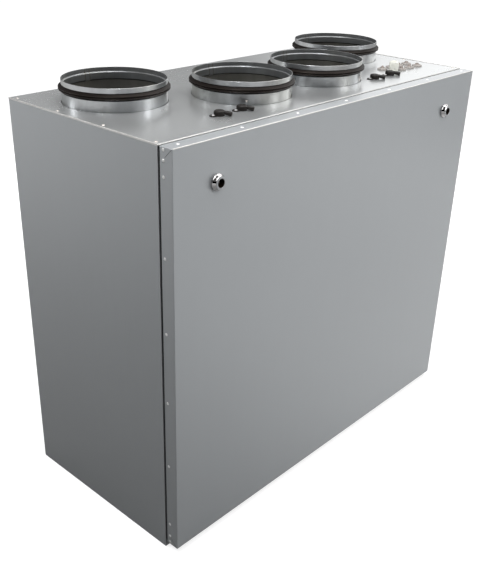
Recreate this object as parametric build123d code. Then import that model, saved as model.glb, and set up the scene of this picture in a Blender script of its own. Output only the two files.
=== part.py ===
from build123d import *
import os

# A floor-standing air handling unit: an insulated sheet-steel casing with a lift-off front
# door, four round duct collars on top and the heat recovery parts inside.
# Frame: millimetres, origin on the floor under the middle of the casing, +X to the right as
# seen from the door, +Y towards the back, +Z up.

# General
cut_margin = 1.0

# Casing
casing_width = 1190.0
casing_depth = 574.0
casing_height = 1050.0
wall_thickness = 25.0
base_thickness = 40.0
sheet_thickness = 1.5
rear_fold_radius = 5.0
back_sheet_margin = 15.0
roof_joint = 0.6

# Door
door_thickness = 36.0
door_gap = 7.0
door_bottom_height = 18.0
door_fold_radius = 2.0
seal_width = 14.0
seal_inset = 3.0
soft_clearance = 0.3

# Door locks
left_lock_inset = 126.0
right_lock_inset = 141.0
lock_below_top = 95.0
bezel_radius = 19.5
bezel_height = 13.0
bezel_edge_height = 3.25
bezel_shoulder_height = 9.75
bezel_shoulder_radius = 18.1
bezel_face_radius = 13.5
lock_wall = 2.0
key_hole_radius = 10.7
key_hole_depth = 17.0
key_pin_radius = 2.5
key_pin_length = 10.0
lock_clearance = 0.3
cam_reach = 45.0
cam_width = 18.0
cam_thickness = 4.0
cam_standoff = 4.0

# Duct collars
collar_diameter = 249.0
collar_height = 54.0
collar_sheet = 1.2
collar_flange = 6.0
collar_hole_clearance = 1.5
collar_pattern_x = 9.0
outer_collar_inset = 165.5
inner_collar_offset = 147.5
outer_collar_from_back = 186.0
inner_collar_from_front = 198.0
groove_bottom = 26.2
groove_height = 15.4
groove_depth = 3.0
lip_reach = 7.0
lip_thickness = 2.4
lip_spacing = 2.0
lip_valley_reach = 4.8

# Pressure taps
tap_pattern_x = 3.9
tap_pair_step = 16.0
tap_pitch = 74.0
tap_from_front = 80.6
tap_radius = 13.0
tap_height = 12.5
tap_edge_radius = 4.0
tap_foot_turn = 168.0
tap_foot_thickness = 2.5
tap_foot_width = 18.0
tap_foot_reach = 16.5
nozzle_turn = -58.0
nozzle_droop = 9.0
nozzle_height = 9.5
nozzle_start = 9.0
nozzle_length = 20.0
nozzle_root_radius = 4.5
nozzle_end_radius = 5.3

# Cable entries
gland_inset = 192.0
gland_from_front = 106.0
gland_bore_radius = 5.0
gland_stem_radius = 10.0
gland_stem_length = 33.0
gland_hole_clearance = 0.5
gland_hex_width = 26.0
gland_hex_height = 8.0
gland_nut_radius = 14.6
gland_nut_height = 20.0
gland_dome_height = 6.0
gland_shoulder_drop = 2.0
gland_shoulder_radius = 12.6
gland_mouth_radius = 9.9
grommet_radius = 14.5
grommet_foot_height = 4.6
grommet_edge_height = 3.1
grommet_edge_slope = 1.5
grommet_dome_radius = 7.5
grommet_dome_height = 7.0
grommet_crown_radius = 4.5
grommet_inset = 75.0
grommet_pitch_x = 42.0
grommet_pitch_y = 37.0
grommet_from_front = 101.0
grommet_columns = 4

# Parts inside the casing
partition_thickness = 12.0
partition_setback = 4.0
partition_top_gap = 2.0
exchanger_height = 366.0
exchanger_lift = 207.0
exchanger_setback = 29.0
filter_below_roof = 235.0
filter_thickness = 50.0
filter_clearance = 1.0
filter_setback = 12.0
rail_width = 15.0
rail_thickness = 3.0
fan_plate_lift = 40.0
fan_plate_thickness = 3.0
fan_inlet_radius = 70.0
fan_wheel_radius = 100.0
fan_wheel_height = 70.0
fan_wheel_gap = 8.0
fan_blade_count = 7
fan_blade_thickness = 3.0
fan_blade_lean = 40.0
fan_disc_thickness = 3.0
motor_radius = 46.0
motor_height = 40.0
bridge_width = 40.0
bridge_thickness = 4.0
bridge_clearance = 12.0
tray_width = 460.0
tray_setback = 14.0
tray_back_gap = 8.0
tray_height = 20.0
tray_sheet = 2.0
tray_clearance = 2.0
control_box_width = 190.0
control_box_depth = 140.0
control_box_height = 190.0
control_box_setback = 19.0
control_box_below_roof = 95.0

# Places worked out from the sizes above
half_width = casing_width / 2
inner_x = half_width - wall_thickness
back_y = casing_depth / 2
inner_back_y = back_y - wall_thickness
door_front_y = -casing_depth / 2
door_back_y = door_front_y + door_thickness
body_front_y = door_back_y + door_gap
inner_top_z = casing_height - wall_thickness
collar_radius = collar_diameter / 2
collar_hole_radius = collar_radius + collar_hole_clearance
outer_collar_offset = half_width - outer_collar_inset
outer_collar_y = back_y - outer_collar_from_back
inner_collar_y = body_front_y + inner_collar_from_front
collar_places = [
    (collar_pattern_x - outer_collar_offset, outer_collar_y),
    (collar_pattern_x - inner_collar_offset, inner_collar_y),
    (collar_pattern_x + inner_collar_offset, inner_collar_y),
    (collar_pattern_x + outer_collar_offset, outer_collar_y),
]
left_lock_x = -half_width + left_lock_inset
right_lock_x = half_width - right_lock_inset
lock_z = casing_height - lock_below_top
lock_hole_radius = key_hole_radius + lock_wall
shaft_offset = (outer_collar_offset + inner_collar_offset) / 2
tap_pair_offset = shaft_offset + tap_pair_step
tap_y = body_front_y + tap_from_front
gland_x = half_width - gland_inset
gland_y = body_front_y + gland_from_front
grommet_last_x = half_width - grommet_inset
grommet_y = body_front_y + grommet_from_front
partition_front_y = body_front_y + partition_setback
partition_top_z = inner_top_z - partition_top_gap
exchanger_front_y = body_front_y + exchanger_setback
exchanger_half_width = shaft_offset - partition_thickness / 2
exchanger_bottom_z = base_thickness + exchanger_lift
exchanger_centre_z = exchanger_bottom_z + exchanger_height / 2
exchanger_top_z = exchanger_bottom_z + exchanger_height
filter_front_y = body_front_y + filter_setback
filter_bottom_z = inner_top_z - filter_below_roof
fan_plate_z = exchanger_centre_z + fan_plate_lift
fan_wheel_z = fan_plate_z + fan_plate_thickness + fan_wheel_gap
tray_front_y = body_front_y + tray_setback
control_box_front_y = body_front_y + control_box_setback
control_box_top_z = inner_top_z - control_box_below_roof


def block(x_range, y_range, z_range):
    """A rectangular block between two corners."""
    (x0, x1), (y0, y1), (z0, z1) = x_range, y_range, z_range
    middle = Pos((x0 + x1) / 2, (y0 + y1) / 2, (z0 + z1) / 2)
    return middle * Box(x1 - x0, y1 - y0, z1 - z0)


def upright(radius, z_low, z_high, x=0.0, y=0.0):
    """A cylinder that stands on z_low."""
    return Pos(x, y, (z_low + z_high) / 2) * Cylinder(radius, z_high - z_low)


def drilled(radius, z_low, z_high, x=0.0, y=0.0):
    """The tool for a round hole that goes right through between two heights."""
    return upright(radius, z_low - cut_margin, z_high + cut_margin, x, y)


def turned(profile, x=0.0, y=0.0, z=0.0):
    """A ring or cap turned about the vertical from points of radius and height."""
    outline = make_face(Polyline([(r, 0, h) for r, h in profile], close=True))
    return Pos(x, y, z) * revolve(outline, Axis.Z)


def turned_forward(profile, x, y, z):
    """A shape turned about a line that points out of the door, from radius and reach."""
    return Pos(x, y, z) * Rot(90, 0, 0) * turned(profile)


def as_part(shape):
    """One shape for export, also where it holds several separate solids."""
    return Compound(children=[solid for solid in shape.solids()])


# Casing panels

def side_panel(side):
    """Left or right wall, with its folded rear corner."""
    outer, inner = side * half_width, side * inner_x
    x_range = (min(outer, inner), max(outer, inner))
    panel = block(x_range, (body_front_y, back_y - sheet_thickness), (0, casing_height - sheet_thickness))
    rear_edges = panel.edges().filter_by(Axis.Z).filter_by_position(
        Axis.Y, back_y - 2 * sheet_thickness, back_y)
    corner = rear_edges.sort_by(Axis.X)[-1 if side > 0 else 0]
    return fillet(corner, rear_fold_radius)


def base_panel():
    """Insulated floor of the casing, between the two sides."""
    return block((-inner_x, inner_x), (body_front_y, back_y - sheet_thickness), (0, base_thickness))


def back_panel():
    """Insulated back with the outer sheet lapped over the edges of its neighbours."""
    core = block((-inner_x, inner_x), (inner_back_y, back_y - sheet_thickness), (base_thickness, inner_top_z))
    sheet_x = half_width - back_sheet_margin
    sheet = block((-sheet_x, sheet_x), (back_y - sheet_thickness, back_y),
                  (sheet_thickness, casing_height - sheet_thickness))
    return core + sheet


def cut_for_fittings(panel):
    """A roof piece without the holes of the collars and the cable gland."""
    for x, y in collar_places:
        panel -= drilled(collar_hole_radius, inner_top_z, casing_height, x, y)
    hole = gland_stem_radius + gland_hole_clearance
    return panel - drilled(hole, inner_top_z, casing_height, gland_x, gland_y)


def top_panel():
    """Cover sheet of the roof."""
    sheet = block((-half_width, half_width), (body_front_y, back_y),
                  (casing_height - sheet_thickness, casing_height))
    rear_corners = sheet.edges().filter_by(Axis.Z).group_by(Axis.Y)[-1]
    return cut_for_fittings(fillet(rear_corners, rear_fold_radius))


def roof_insulation():
    """Lined boards under the cover sheet, one in front of and one behind each collar's middle."""
    half_joint = roof_joint / 2
    seams = [collar_pattern_x + step * shaft_offset for step in (-1, 0, 1)]
    left_edges = [-inner_x] + [x + half_joint for x in seams]
    right_edges = [x - half_joint for x in seams] + [inner_x]
    z_range = (inner_top_z, casing_height - sheet_thickness)
    boards = []
    for x0, x1, (_, y) in zip(left_edges, right_edges, collar_places):
        front = block((x0, x1), (body_front_y, y - half_joint), z_range)
        rear = block((x0, x1), (y + half_joint, back_y - sheet_thickness), z_range)
        boards += [cut_for_fittings(front), cut_for_fittings(rear)]
    return as_part(Compound(children=boards))


# Door

def door_seal():
    """Four foam strips round the front of the casing, a hair clear of the closed door."""
    y_range = (door_back_y + soft_clearance, body_front_y)
    x1 = half_width - seal_inset
    x0 = x1 - seal_width
    z0 = door_bottom_height + seal_inset
    z1 = casing_height - seal_inset
    strips = [
        block((-x1, -x0), y_range, (z0, z1)),
        block((x0, x1), y_range, (z0, z1)),
        block((-x0 + soft_clearance, x0 - soft_clearance), y_range, (z1 - seal_width, z1)),
        block((-x0 + soft_clearance, x0 - soft_clearance), y_range, (z0, z0 + seal_width)),
    ]
    return Compound(children=strips)


def lock_holes():
    """Round holes through the door for both lock barrels."""
    reach = door_thickness + 2 * cut_margin
    holes = [
        Pos(x, door_front_y + door_thickness / 2, lock_z) * Rot(90, 0, 0) * Cylinder(lock_hole_radius, reach)
        for x in (left_lock_x, right_lock_x)
    ]
    return holes[0] + holes[1]


def door_skin():
    """Outer door sheet with its four folded flanges, open at the back."""
    tray = block((-half_width, half_width), (door_front_y, door_back_y), (door_bottom_height, casing_height))
    outer_edges = tray.edges().group_by(Axis.Y)[0] + tray.edges().filter_by(Axis.Y)
    tray = fillet(outer_edges, door_fold_radius)
    return tray - door_filling() - lock_holes()


def door_filling():
    """The block of space inside the door sheet."""
    x = half_width - sheet_thickness
    return block((-x, x), (door_front_y + sheet_thickness, door_back_y),
                 (door_bottom_height + sheet_thickness, casing_height - sheet_thickness))


def door_inner_panel():
    """Insulation and liner that fill the door sheet."""
    return door_filling() - lock_holes()


def lock_bezel(x):
    """Domed lock rosette with the sleeve that goes through the door."""
    profile = [
        (key_hole_radius, -door_thickness),
        (lock_hole_radius - lock_clearance, -door_thickness),
        (lock_hole_radius - lock_clearance, 0),
        (bezel_radius, 0),
        (bezel_radius, bezel_edge_height),
        (bezel_shoulder_radius, bezel_shoulder_height),
        (bezel_face_radius, bezel_height),
        (key_hole_radius, bezel_height),
    ]
    return turned_forward(profile, x, door_front_y, lock_z)


def lock_core(x):
    """Turning lock barrel with its key pin in front and its cam behind the door."""
    barrel_radius = key_hole_radius - lock_clearance
    barrel_front = bezel_height - key_hole_depth
    cam_back = -door_thickness - cam_standoff - cam_thickness
    profile = [
        (0, cam_back),
        (barrel_radius, cam_back),
        (barrel_radius, barrel_front),
        (key_pin_radius, barrel_front),
        (key_pin_radius, barrel_front + key_pin_length),
        (0, barrel_front + key_pin_length),
    ]
    cam = block((x - cam_width / 2, x + cam_width / 2),
                (door_front_y - cam_back - cam_thickness, door_front_y - cam_back),
                (lock_z, lock_z + cam_reach))
    return turned_forward(profile, x, door_front_y, lock_z) + cam


# Duct collars

def collar(x, y):
    """Round sheet collar with a rolled groove for its seal and a flange under the roof."""
    outer = collar_radius
    inner = outer - collar_sheet
    low, high = groove_bottom, groove_bottom + groove_height
    under = -wall_thickness
    profile = [
        (inner, under - collar_sheet),
        (outer + collar_flange, under - collar_sheet),
        (outer + collar_flange, under),
        (outer, under),
        (outer, low),
        (outer - groove_depth, low),
        (outer - groove_depth, high),
        (outer, high),
        (outer, collar_height),
        (inner, collar_height),
        (inner, high + collar_sheet),
        (inner - groove_depth, high + collar_sheet),
        (inner - groove_depth, low - collar_sheet),
        (inner, low - collar_sheet),
    ]
    return turned(profile, x, y, casing_height)


def collar_seal(x, y):
    """Rubber ring with two lips, seated in the collar's groove."""
    root = collar_radius - groove_depth
    tip = collar_radius + lip_reach
    low, high = groove_bottom, groove_bottom + groove_height
    middle = (low + high) / 2
    near = lip_spacing / 2
    far = near + lip_thickness
    profile = [
        (root, low),
        (collar_radius, low),
        (tip, middle - far),
        (tip, middle - near),
        (collar_radius + lip_valley_reach, middle),
        (tip, middle + near),
        (tip, middle + far),
        (collar_radius, high),
        (root, high),
    ]
    return turned(profile, x, y, casing_height)


# Fittings on the roof

def pressure_tap(x, y):
    """Round domed body, a screwed foot to one side of it and a nozzle that droops on the other."""
    half_foot = tap_foot_width / 2
    foot = block((0, tap_foot_reach), (-half_foot, half_foot), (0, tap_foot_thickness))
    foot += Pos(tap_foot_reach, 0, 0) * upright(half_foot, 0, tap_foot_thickness)
    body = fillet(upright(tap_radius, 0, tap_height).edges().group_by(Axis.Z)[-1], tap_edge_radius)
    tube = Pos(0, 0, nozzle_length / 2) * Cone(nozzle_root_radius, nozzle_end_radius, nozzle_length)
    nozzle = Pos(0, 0, nozzle_height) * Rot(0, 90 + nozzle_droop, 0) * Pos(0, 0, nozzle_start) * tube
    tap = body + Rot(0, 0, tap_foot_turn) * foot + Rot(0, 0, nozzle_turn) * nozzle
    return Pos(x, y, casing_height) * tap


def gland_body():
    """Hexagonal foot of the cable gland with its stem through the roof."""
    hexagon = extrude(RegularPolygon(gland_hex_width / 2, 6, major_radius=False), gland_hex_height)
    stem = upright(gland_stem_radius, -gland_stem_length, 0)
    bore = drilled(gland_bore_radius, -gland_stem_length, gland_hex_height)
    return Pos(gland_x, gland_y, casing_height) * (hexagon + stem - bore)


def gland_nut():
    """Domed nut of the cable gland."""
    top = gland_hex_height + gland_nut_height
    profile = [
        (gland_bore_radius, gland_hex_height),
        (gland_nut_radius, gland_hex_height),
        (gland_nut_radius, top - gland_dome_height),
        (gland_shoulder_radius, top - gland_shoulder_drop),
        (gland_mouth_radius, top),
        (gland_bore_radius, top),
    ]
    return turned(profile, gland_x, gland_y, casing_height)


def grommet_places():
    """Two rows of cable grommets; the gland takes the last place of the front row."""
    rows = ((grommet_columns, grommet_y + grommet_pitch_y), (grommet_columns - 1, grommet_y))
    return [(grommet_last_x - i * grommet_pitch_x, y) for count, y in rows for i in range(count)]


def cable_grommets():
    """Low domed membrane grommets, all on one body."""
    foot, dome = grommet_foot_height, grommet_foot_height + grommet_dome_height
    profile = [
        (0, 0),
        (grommet_radius, 0),
        (grommet_radius, grommet_edge_height),
        (grommet_radius - grommet_edge_slope, foot),
        (grommet_dome_radius, foot),
        (grommet_crown_radius, dome),
        (0, dome),
    ]
    return Compound(children=[turned(profile, x, y, casing_height) for x, y in grommet_places()])


# Parts inside

def shaft_face(side, towards_middle):
    """X of one face of the partition between a collar pair."""
    step = -0.5 if towards_middle else 0.5
    return collar_pattern_x + side * (shaft_offset + step * partition_thickness)


def x_span(first, second):
    """A range from the lower to the higher of two places."""
    return (min(first, second), max(first, second))


def shaft_partition(side):
    """Upright wall between an inner chamber and the outer air shaft."""
    x_range = x_span(shaft_face(side, True), shaft_face(side, False))
    return block(x_range, (partition_front_y, inner_back_y), (exchanger_centre_z, partition_top_z))


def centre_partition(z_low, z_high, y_front, y_back):
    """Upright wall over or under the exchanger."""
    half = partition_thickness / 2
    return block((collar_pattern_x - half, collar_pattern_x + half), (y_front, y_back), (z_low, z_high))


def upper_partition():
    """Wall between the two filter chambers."""
    return centre_partition(exchanger_top_z, partition_top_z, partition_front_y, inner_back_y)


def lower_partition():
    """Wall that carries the exchanger and stands in the drip tray."""
    y_front = tray_front_y + tray_sheet + tray_clearance
    y_back = inner_back_y - tray_back_gap - tray_sheet - tray_clearance
    return centre_partition(base_thickness + tray_sheet, exchanger_bottom_z, y_front, y_back)


def heat_exchanger():
    """Counterflow plate block with a six-sided outline."""
    flat = exchanger_half_width - exchanger_height / 2
    outline = [
        (-exchanger_half_width, exchanger_centre_z),
        (-flat, exchanger_bottom_z),
        (flat, exchanger_bottom_z),
        (exchanger_half_width, exchanger_centre_z),
        (flat, exchanger_top_z),
        (-flat, exchanger_top_z),
    ]
    points = [(collar_pattern_x + x, exchanger_front_y, z) for x, z in outline]
    return extrude(make_face(Polyline(points, close=True)), inner_back_y - exchanger_front_y, dir=(0, 1, 0))


def chamber_range(side):
    """X range of the inner chamber on one side, between its two walls."""
    return x_span(collar_pattern_x + side * partition_thickness / 2, shaft_face(side, True))


def shaft_range(side):
    """X range of the outer air shaft on one side."""
    return x_span(shaft_face(side, False), side * inner_x)


def filter_rails():
    """Two ledges in each inner chamber for a filter cassette."""
    z_range = (filter_bottom_z - rail_thickness, filter_bottom_z)
    y_range = (filter_front_y, inner_back_y)
    rails = []
    for side in (-1, 1):
        x0, x1 = chamber_range(side)
        rails.append(block((x0, x0 + rail_width), y_range, z_range))
        rails.append(block((x1 - rail_width, x1), y_range, z_range))
    return Compound(children=rails)


def air_filter(side):
    """Panel filter cassette that lies on its rails."""
    x0, x1 = chamber_range(side)
    return block((x0 + filter_clearance, x1 - filter_clearance),
                 (filter_front_y, inner_back_y - filter_clearance),
                 (filter_bottom_z, filter_bottom_z + filter_thickness))


def fan_centre(side):
    """X and Y of a fan, in the middle of its shaft."""
    x0, x1 = shaft_range(side)
    return (x0 + x1) / 2, (partition_front_y + inner_back_y) / 2


def fan_plate(side):
    """Level plate across the shaft with the fan's round inlet."""
    x, y = fan_centre(side)
    plate = block(shaft_range(side), (partition_front_y, inner_back_y),
                  (fan_plate_z, fan_plate_z + fan_plate_thickness))
    return plate - drilled(fan_inlet_radius, fan_plate_z, fan_plate_z + fan_plate_thickness, x, y)


def fan_wheel(side):
    """Radial wheel: inlet shroud below, leaning blades outside the eye, and a back disc above."""
    x, y = fan_centre(side)
    shroud = upright(fan_wheel_radius, 0, fan_disc_thickness)
    shroud -= drilled(fan_inlet_radius, 0, fan_disc_thickness)
    disc = upright(fan_wheel_radius, fan_wheel_height - fan_disc_thickness, fan_wheel_height)
    wheel = shroud + disc
    ring_middle = (fan_inlet_radius + fan_wheel_radius) / 2
    blade_length = fan_wheel_radius - fan_inlet_radius - fan_blade_thickness
    for i in range(fan_blade_count):
        blade = Pos(ring_middle, 0, fan_wheel_height / 2) * Rot(0, 0, fan_blade_lean) * Box(
            blade_length, fan_blade_thickness, fan_wheel_height)
        wheel += Rot(0, 0, 360.0 * i / fan_blade_count) * blade
    return Pos(x, y, fan_wheel_z) * wheel


def fan_motor(side):
    """Motor on the wheel's disc, held by a bridge that stands on the fan plate."""
    x, y = fan_centre(side)
    foot_z = fan_plate_z + fan_plate_thickness
    motor_z = fan_wheel_z + fan_wheel_height
    top_z = motor_z + motor_height
    motor = upright(motor_radius, motor_z, top_z, x, y)
    leg_y = fan_wheel_radius + bridge_clearance
    x_range = (x - bridge_width / 2, x + bridge_width / 2)
    bar = block(x_range, (y - leg_y - bridge_thickness, y + leg_y + bridge_thickness),
                (top_z, top_z + bridge_thickness))
    front_leg = block(x_range, (y - leg_y - bridge_thickness, y - leg_y), (foot_z, top_z))
    back_leg = block(x_range, (y + leg_y, y + leg_y + bridge_thickness), (foot_z, top_z))
    return motor + bar + front_leg + back_leg


def drip_tray():
    """Shallow tray under the exchanger."""
    half = tray_width / 2
    y_range = (tray_front_y, inner_back_y - tray_back_gap)
    tray = block((collar_pattern_x - half, collar_pattern_x + half), y_range,
                 (base_thickness, base_thickness + tray_height))
    space = block((collar_pattern_x - half + tray_sheet, collar_pattern_x + half - tray_sheet),
                  (y_range[0] + tray_sheet, y_range[1] - tray_sheet),
                  (base_thickness + tray_sheet, base_thickness + tray_height + cut_margin))
    return tray - space


def control_box():
    """Closed box for the electrical parts, on the wall of the right-hand shaft."""
    x0 = shaft_face(1, False)
    return block((x0, x0 + control_box_width), (control_box_front_y, control_box_front_y + control_box_depth),
                 (control_box_top_z - control_box_height, control_box_top_z))


def tap_places():
    """A pair of taps beside each pair of collars."""
    return [
        (tap_pattern_x + side * tap_pair_offset + step * tap_pitch / 2, tap_y)
        for side in (-1, 1) for step in (-1, 1)
    ]


def build_parts():
    """Every node of the unit by name."""
    parts = {
        "base_panel": base_panel(),
        "left_side_panel": side_panel(-1),
        "right_side_panel": side_panel(1),
        "back_panel": back_panel(),
        "top_panel": top_panel(),
        "roof_insulation": roof_insulation(),
        "door_seal": door_seal(),
        "door_skin": door_skin(),
        "door_inner_panel": door_inner_panel(),
        "left_lock_bezel": lock_bezel(left_lock_x),
        "right_lock_bezel": lock_bezel(right_lock_x),
        "left_lock_core": lock_core(left_lock_x),
        "right_lock_core": lock_core(right_lock_x),
        "gland_body": gland_body(),
        "gland_nut": gland_nut(),
        "cable_grommets": cable_grommets(),
        "upper_partition": upper_partition(),
        "lower_partition": lower_partition(),
        "heat_exchanger": heat_exchanger(),
        "filter_rails": filter_rails(),
        "drip_tray": drip_tray(),
        "control_box": control_box(),
    }
    for number, (x, y) in enumerate(collar_places, 1):
        parts[f"duct_collar_{number}"] = collar(x, y)
        parts[f"collar_seal_{number}"] = collar_seal(x, y)
    for number, (x, y) in enumerate(tap_places(), 1):
        parts[f"pressure_tap_{number}"] = pressure_tap(x, y)
    for side, name in ((-1, "left"), (1, "right")):
        parts[f"{name}_shaft_partition"] = shaft_partition(side)
        parts[f"{name}_filter"] = air_filter(side)
        parts[f"{name}_fan_plate"] = fan_plate(side)
        parts[f"{name}_fan_wheel"] = fan_wheel(side)
        parts[f"{name}_fan_motor"] = fan_motor(side)
    return parts


os.makedirs("parts", exist_ok=True)
for node, shape in build_parts().items():
    export_step(as_part(shape), f"parts/{node}.step")
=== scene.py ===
import logging
import math
from dataclasses import dataclass
from enum import Enum
from functools import lru_cache
from typing import Callable, Dict, Iterable, List, Optional, Sequence, Tuple, Union

import bmesh
import bpy
from mathutils import Matrix, Vector


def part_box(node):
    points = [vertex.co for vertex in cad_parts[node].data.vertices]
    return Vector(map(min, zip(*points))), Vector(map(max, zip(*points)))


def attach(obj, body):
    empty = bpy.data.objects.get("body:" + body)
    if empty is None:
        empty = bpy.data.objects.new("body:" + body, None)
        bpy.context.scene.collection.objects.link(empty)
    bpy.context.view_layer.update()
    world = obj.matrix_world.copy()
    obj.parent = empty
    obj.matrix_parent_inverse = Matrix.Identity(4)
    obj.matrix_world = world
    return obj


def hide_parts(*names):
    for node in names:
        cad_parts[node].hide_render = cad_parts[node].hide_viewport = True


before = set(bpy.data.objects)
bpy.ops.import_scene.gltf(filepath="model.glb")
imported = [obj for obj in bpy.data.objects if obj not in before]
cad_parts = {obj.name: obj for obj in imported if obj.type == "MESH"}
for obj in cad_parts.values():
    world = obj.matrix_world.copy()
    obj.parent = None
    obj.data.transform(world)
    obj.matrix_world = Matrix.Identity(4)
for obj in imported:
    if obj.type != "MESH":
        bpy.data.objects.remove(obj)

LOG = logging.getLogger("air_handling_unit")
SMOOTH_LIMIT = math.radians(34.0)
HEAD_SINK = 0.0003
DUCT_COUNT = 4

Point = Tuple[float, float]
Spot = Tuple[float, float, float]
Colour = Tuple[float, float, float]
Value = Union["Signal", float, Sequence[float]]


class Side(Enum):
    """Left or right of the unit, as seen from its door."""

    LEFT = -1
    RIGHT = 1

    @property
    def word(self) -> str:
        """The side's name as it stands in the names of the pieces."""
        return self.name.lower()


class Facing(Enum):
    """The way that the head of a rivet or screw looks, as a turn of the upright one."""

    UP = Matrix.Identity(4)
    FRONT = Matrix.Rotation(math.radians(90.0), 4, "X")
    BACK = Matrix.Rotation(math.radians(-90.0), 4, "X")
    LEFT = Matrix.Rotation(math.radians(-90.0), 4, "Y")
    RIGHT = Matrix.Rotation(math.radians(90.0), 4, "Y")


# Shader graphs

class Signal:
    """One output of a shader node, which can stand in a sum."""

    def __init__(self, graph: "Graph", socket: Optional[bpy.types.NodeSocket]) -> None:
        """Keep the graph and the socket that this signal comes from."""
        self.graph = graph
        self.socket = socket

    def _joined(self, operation: str, first: Value, second: Value) -> "Signal":
        """Add one Math node for two values."""
        return self.graph.node("ShaderNodeMath", {"operation": operation}, {0: first, 1: second})

    def __add__(self, other: Value) -> "Signal":
        """This plus other."""
        return self._joined("ADD", self, other)

    __radd__ = __add__

    def __sub__(self, other: Value) -> "Signal":
        """This minus other."""
        return self._joined("SUBTRACT", self, other)

    def __rsub__(self, other: Value) -> "Signal":
        """Other minus this."""
        return self._joined("SUBTRACT", other, self)

    def __mul__(self, other: Value) -> "Signal":
        """This times other."""
        return self._joined("MULTIPLY", self, other)

    def over(self, low: float, high: float) -> "Signal":
        """A smooth step from 0 where this is low to 1 where it is high."""
        settings = {"interpolation_type": "SMOOTHSTEP"}
        return self.graph.node("ShaderNodeMapRange", settings, {0: self, 1: low, 2: high})


class Graph:
    """The node tree of a material or of the world, written as calls."""

    def __init__(self, tree: bpy.types.NodeTree) -> None:
        """Start from an empty tree."""
        self.tree = tree
        self.tree.nodes.clear()

    def node(self, kind: str, settings: Optional[Dict] = None, inputs: Optional[Dict] = None,
             output: Union[int, str] = 0) -> Signal:
        """Add one node.

        Args:
            kind: The node's type.
            settings: Its own settings, which are set first.
            inputs: Values or signals for its sockets, by name or place.
            output: The socket to hand back.

        Returns:
            The signal at that output.
        """
        made = self.tree.nodes.new(kind)
        for key, value in (settings or {}).items():
            setattr(made, key, value)
        for key, value in (inputs or {}).items():
            if isinstance(value, Signal):
                self.tree.links.new(value.socket, made.inputs[key])
            else:
                made.inputs[key].default_value = value
        return Signal(self, made.outputs[output] if made.outputs else None)

    def place(self, stretch: Sequence[float] = (1.0, 1.0, 1.0)) -> Signal:
        """The object's own coordinates, stretched along each axis."""
        spot = self.node("ShaderNodeTexCoord", output="Object")
        return self.node("ShaderNodeMapping", None, {"Vector": spot, "Scale": stretch})

    def part(self, vector: Signal, axis: str = "X") -> Signal:
        """The X, Y or Z of a vector."""
        return self.node("ShaderNodeSeparateXYZ", None, {0: vector}, axis)

    def ray(self, kind: str) -> Signal:
        """1 for a ray of one kind, such as Camera or Glossy, or else 0."""
        return self.node("ShaderNodeLightPath", output=f"Is {kind} Ray")

    def seen(self) -> Signal:
        """1 for what the eye sees straight, in a mirror or through glass, or else 0."""
        inputs = {0: self.ray("Camera") + self.ray("Glossy"), 1: self.ray("Transmission")}
        return self.node("ShaderNodeMath", {"operation": "ADD", "use_clamp": True}, inputs)

    def noise(self, scale: float, detail: float = 2.0, stretch: Sequence[float] = (1.0, 1.0, 1.0),
              rough: float = 0.5) -> Signal:
        """Soft noise round 0.5, in clouds of about 1 / scale metres."""
        inputs = {"Vector": self.place(stretch), "Scale": scale, "Detail": detail, "Roughness": rough}
        return self.node("ShaderNodeTexNoise", None, inputs)

    def cells(self, scale: float, output: str = "Color") -> Signal:
        """A Voronoi pattern with cells of about 1 / scale metres."""
        return self.node("ShaderNodeTexVoronoi", None, {"Vector": self.place(), "Scale": scale}, output)

    def around(self, base: float, *swings: Tuple[Signal, float]) -> Signal:
        """Let a value swing with some signals.

        Args:
            base: The value where every signal is at 0.5.
            swings: The signals, each with the share of it that counts.

        Returns:
            The swinging value.
        """
        level = base
        for signal, share in swings:
            level = level + (signal - 0.5) * share
        return level

    def tinted(self, colour: Colour, level: Value) -> Signal:
        """A colour times a level."""
        return self.node("ShaderNodeVectorMath", {"operation": "SCALE"}, {0: colour, "Scale": level})

    def mixed(self, factor: Value, first: Value, second: Value) -> Signal:
        """A colour between two others."""
        ends = [end if isinstance(end, Signal) else (*end, 1.0) for end in (first, second)]
        return self.node("ShaderNodeMix", {"data_type": "RGBA"}, {0: factor, 6: ends[0], 7: ends[1]}, 2)

    def bump(self, height: Signal, depth: float, strength: float = 1.0) -> Signal:
        """A normal that follows a height map of the given depth in metres."""
        return self.node("ShaderNodeBump", None, {"Strength": strength, "Distance": depth, "Height": height})


# Finishes

@dataclass(frozen=True)
class Finish:
    """A surface finish; each kind fills the sockets of one shader."""

    slot: str
    colour: Colour

    @property
    def label(self) -> str:
        """The name of the finish's material."""
        return f"{type(self).__name__}_{self.slot}"

    def sockets(self, graph: Graph) -> Dict[str, Value]:
        """The shader's sockets by name, each with a value or a signal."""
        raise NotImplementedError


@lru_cache(maxsize=None)
def material_of(finish: Finish) -> bpy.types.Material:
    """Make the material of a finish, once.

    Args:
        finish: The finish to turn into a material.

    Returns:
        The material.
    """
    material = bpy.data.materials.new(finish.label)
    material.use_nodes = True
    graph = Graph(material.node_tree)
    shader = graph.node("ShaderNodeBsdfPrincipled", None, finish.sockets(graph))
    graph.node("ShaderNodeOutputMaterial", None, {"Surface": shader})
    material.diffuse_color = (*finish.colour, 1.0)
    return material


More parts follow.
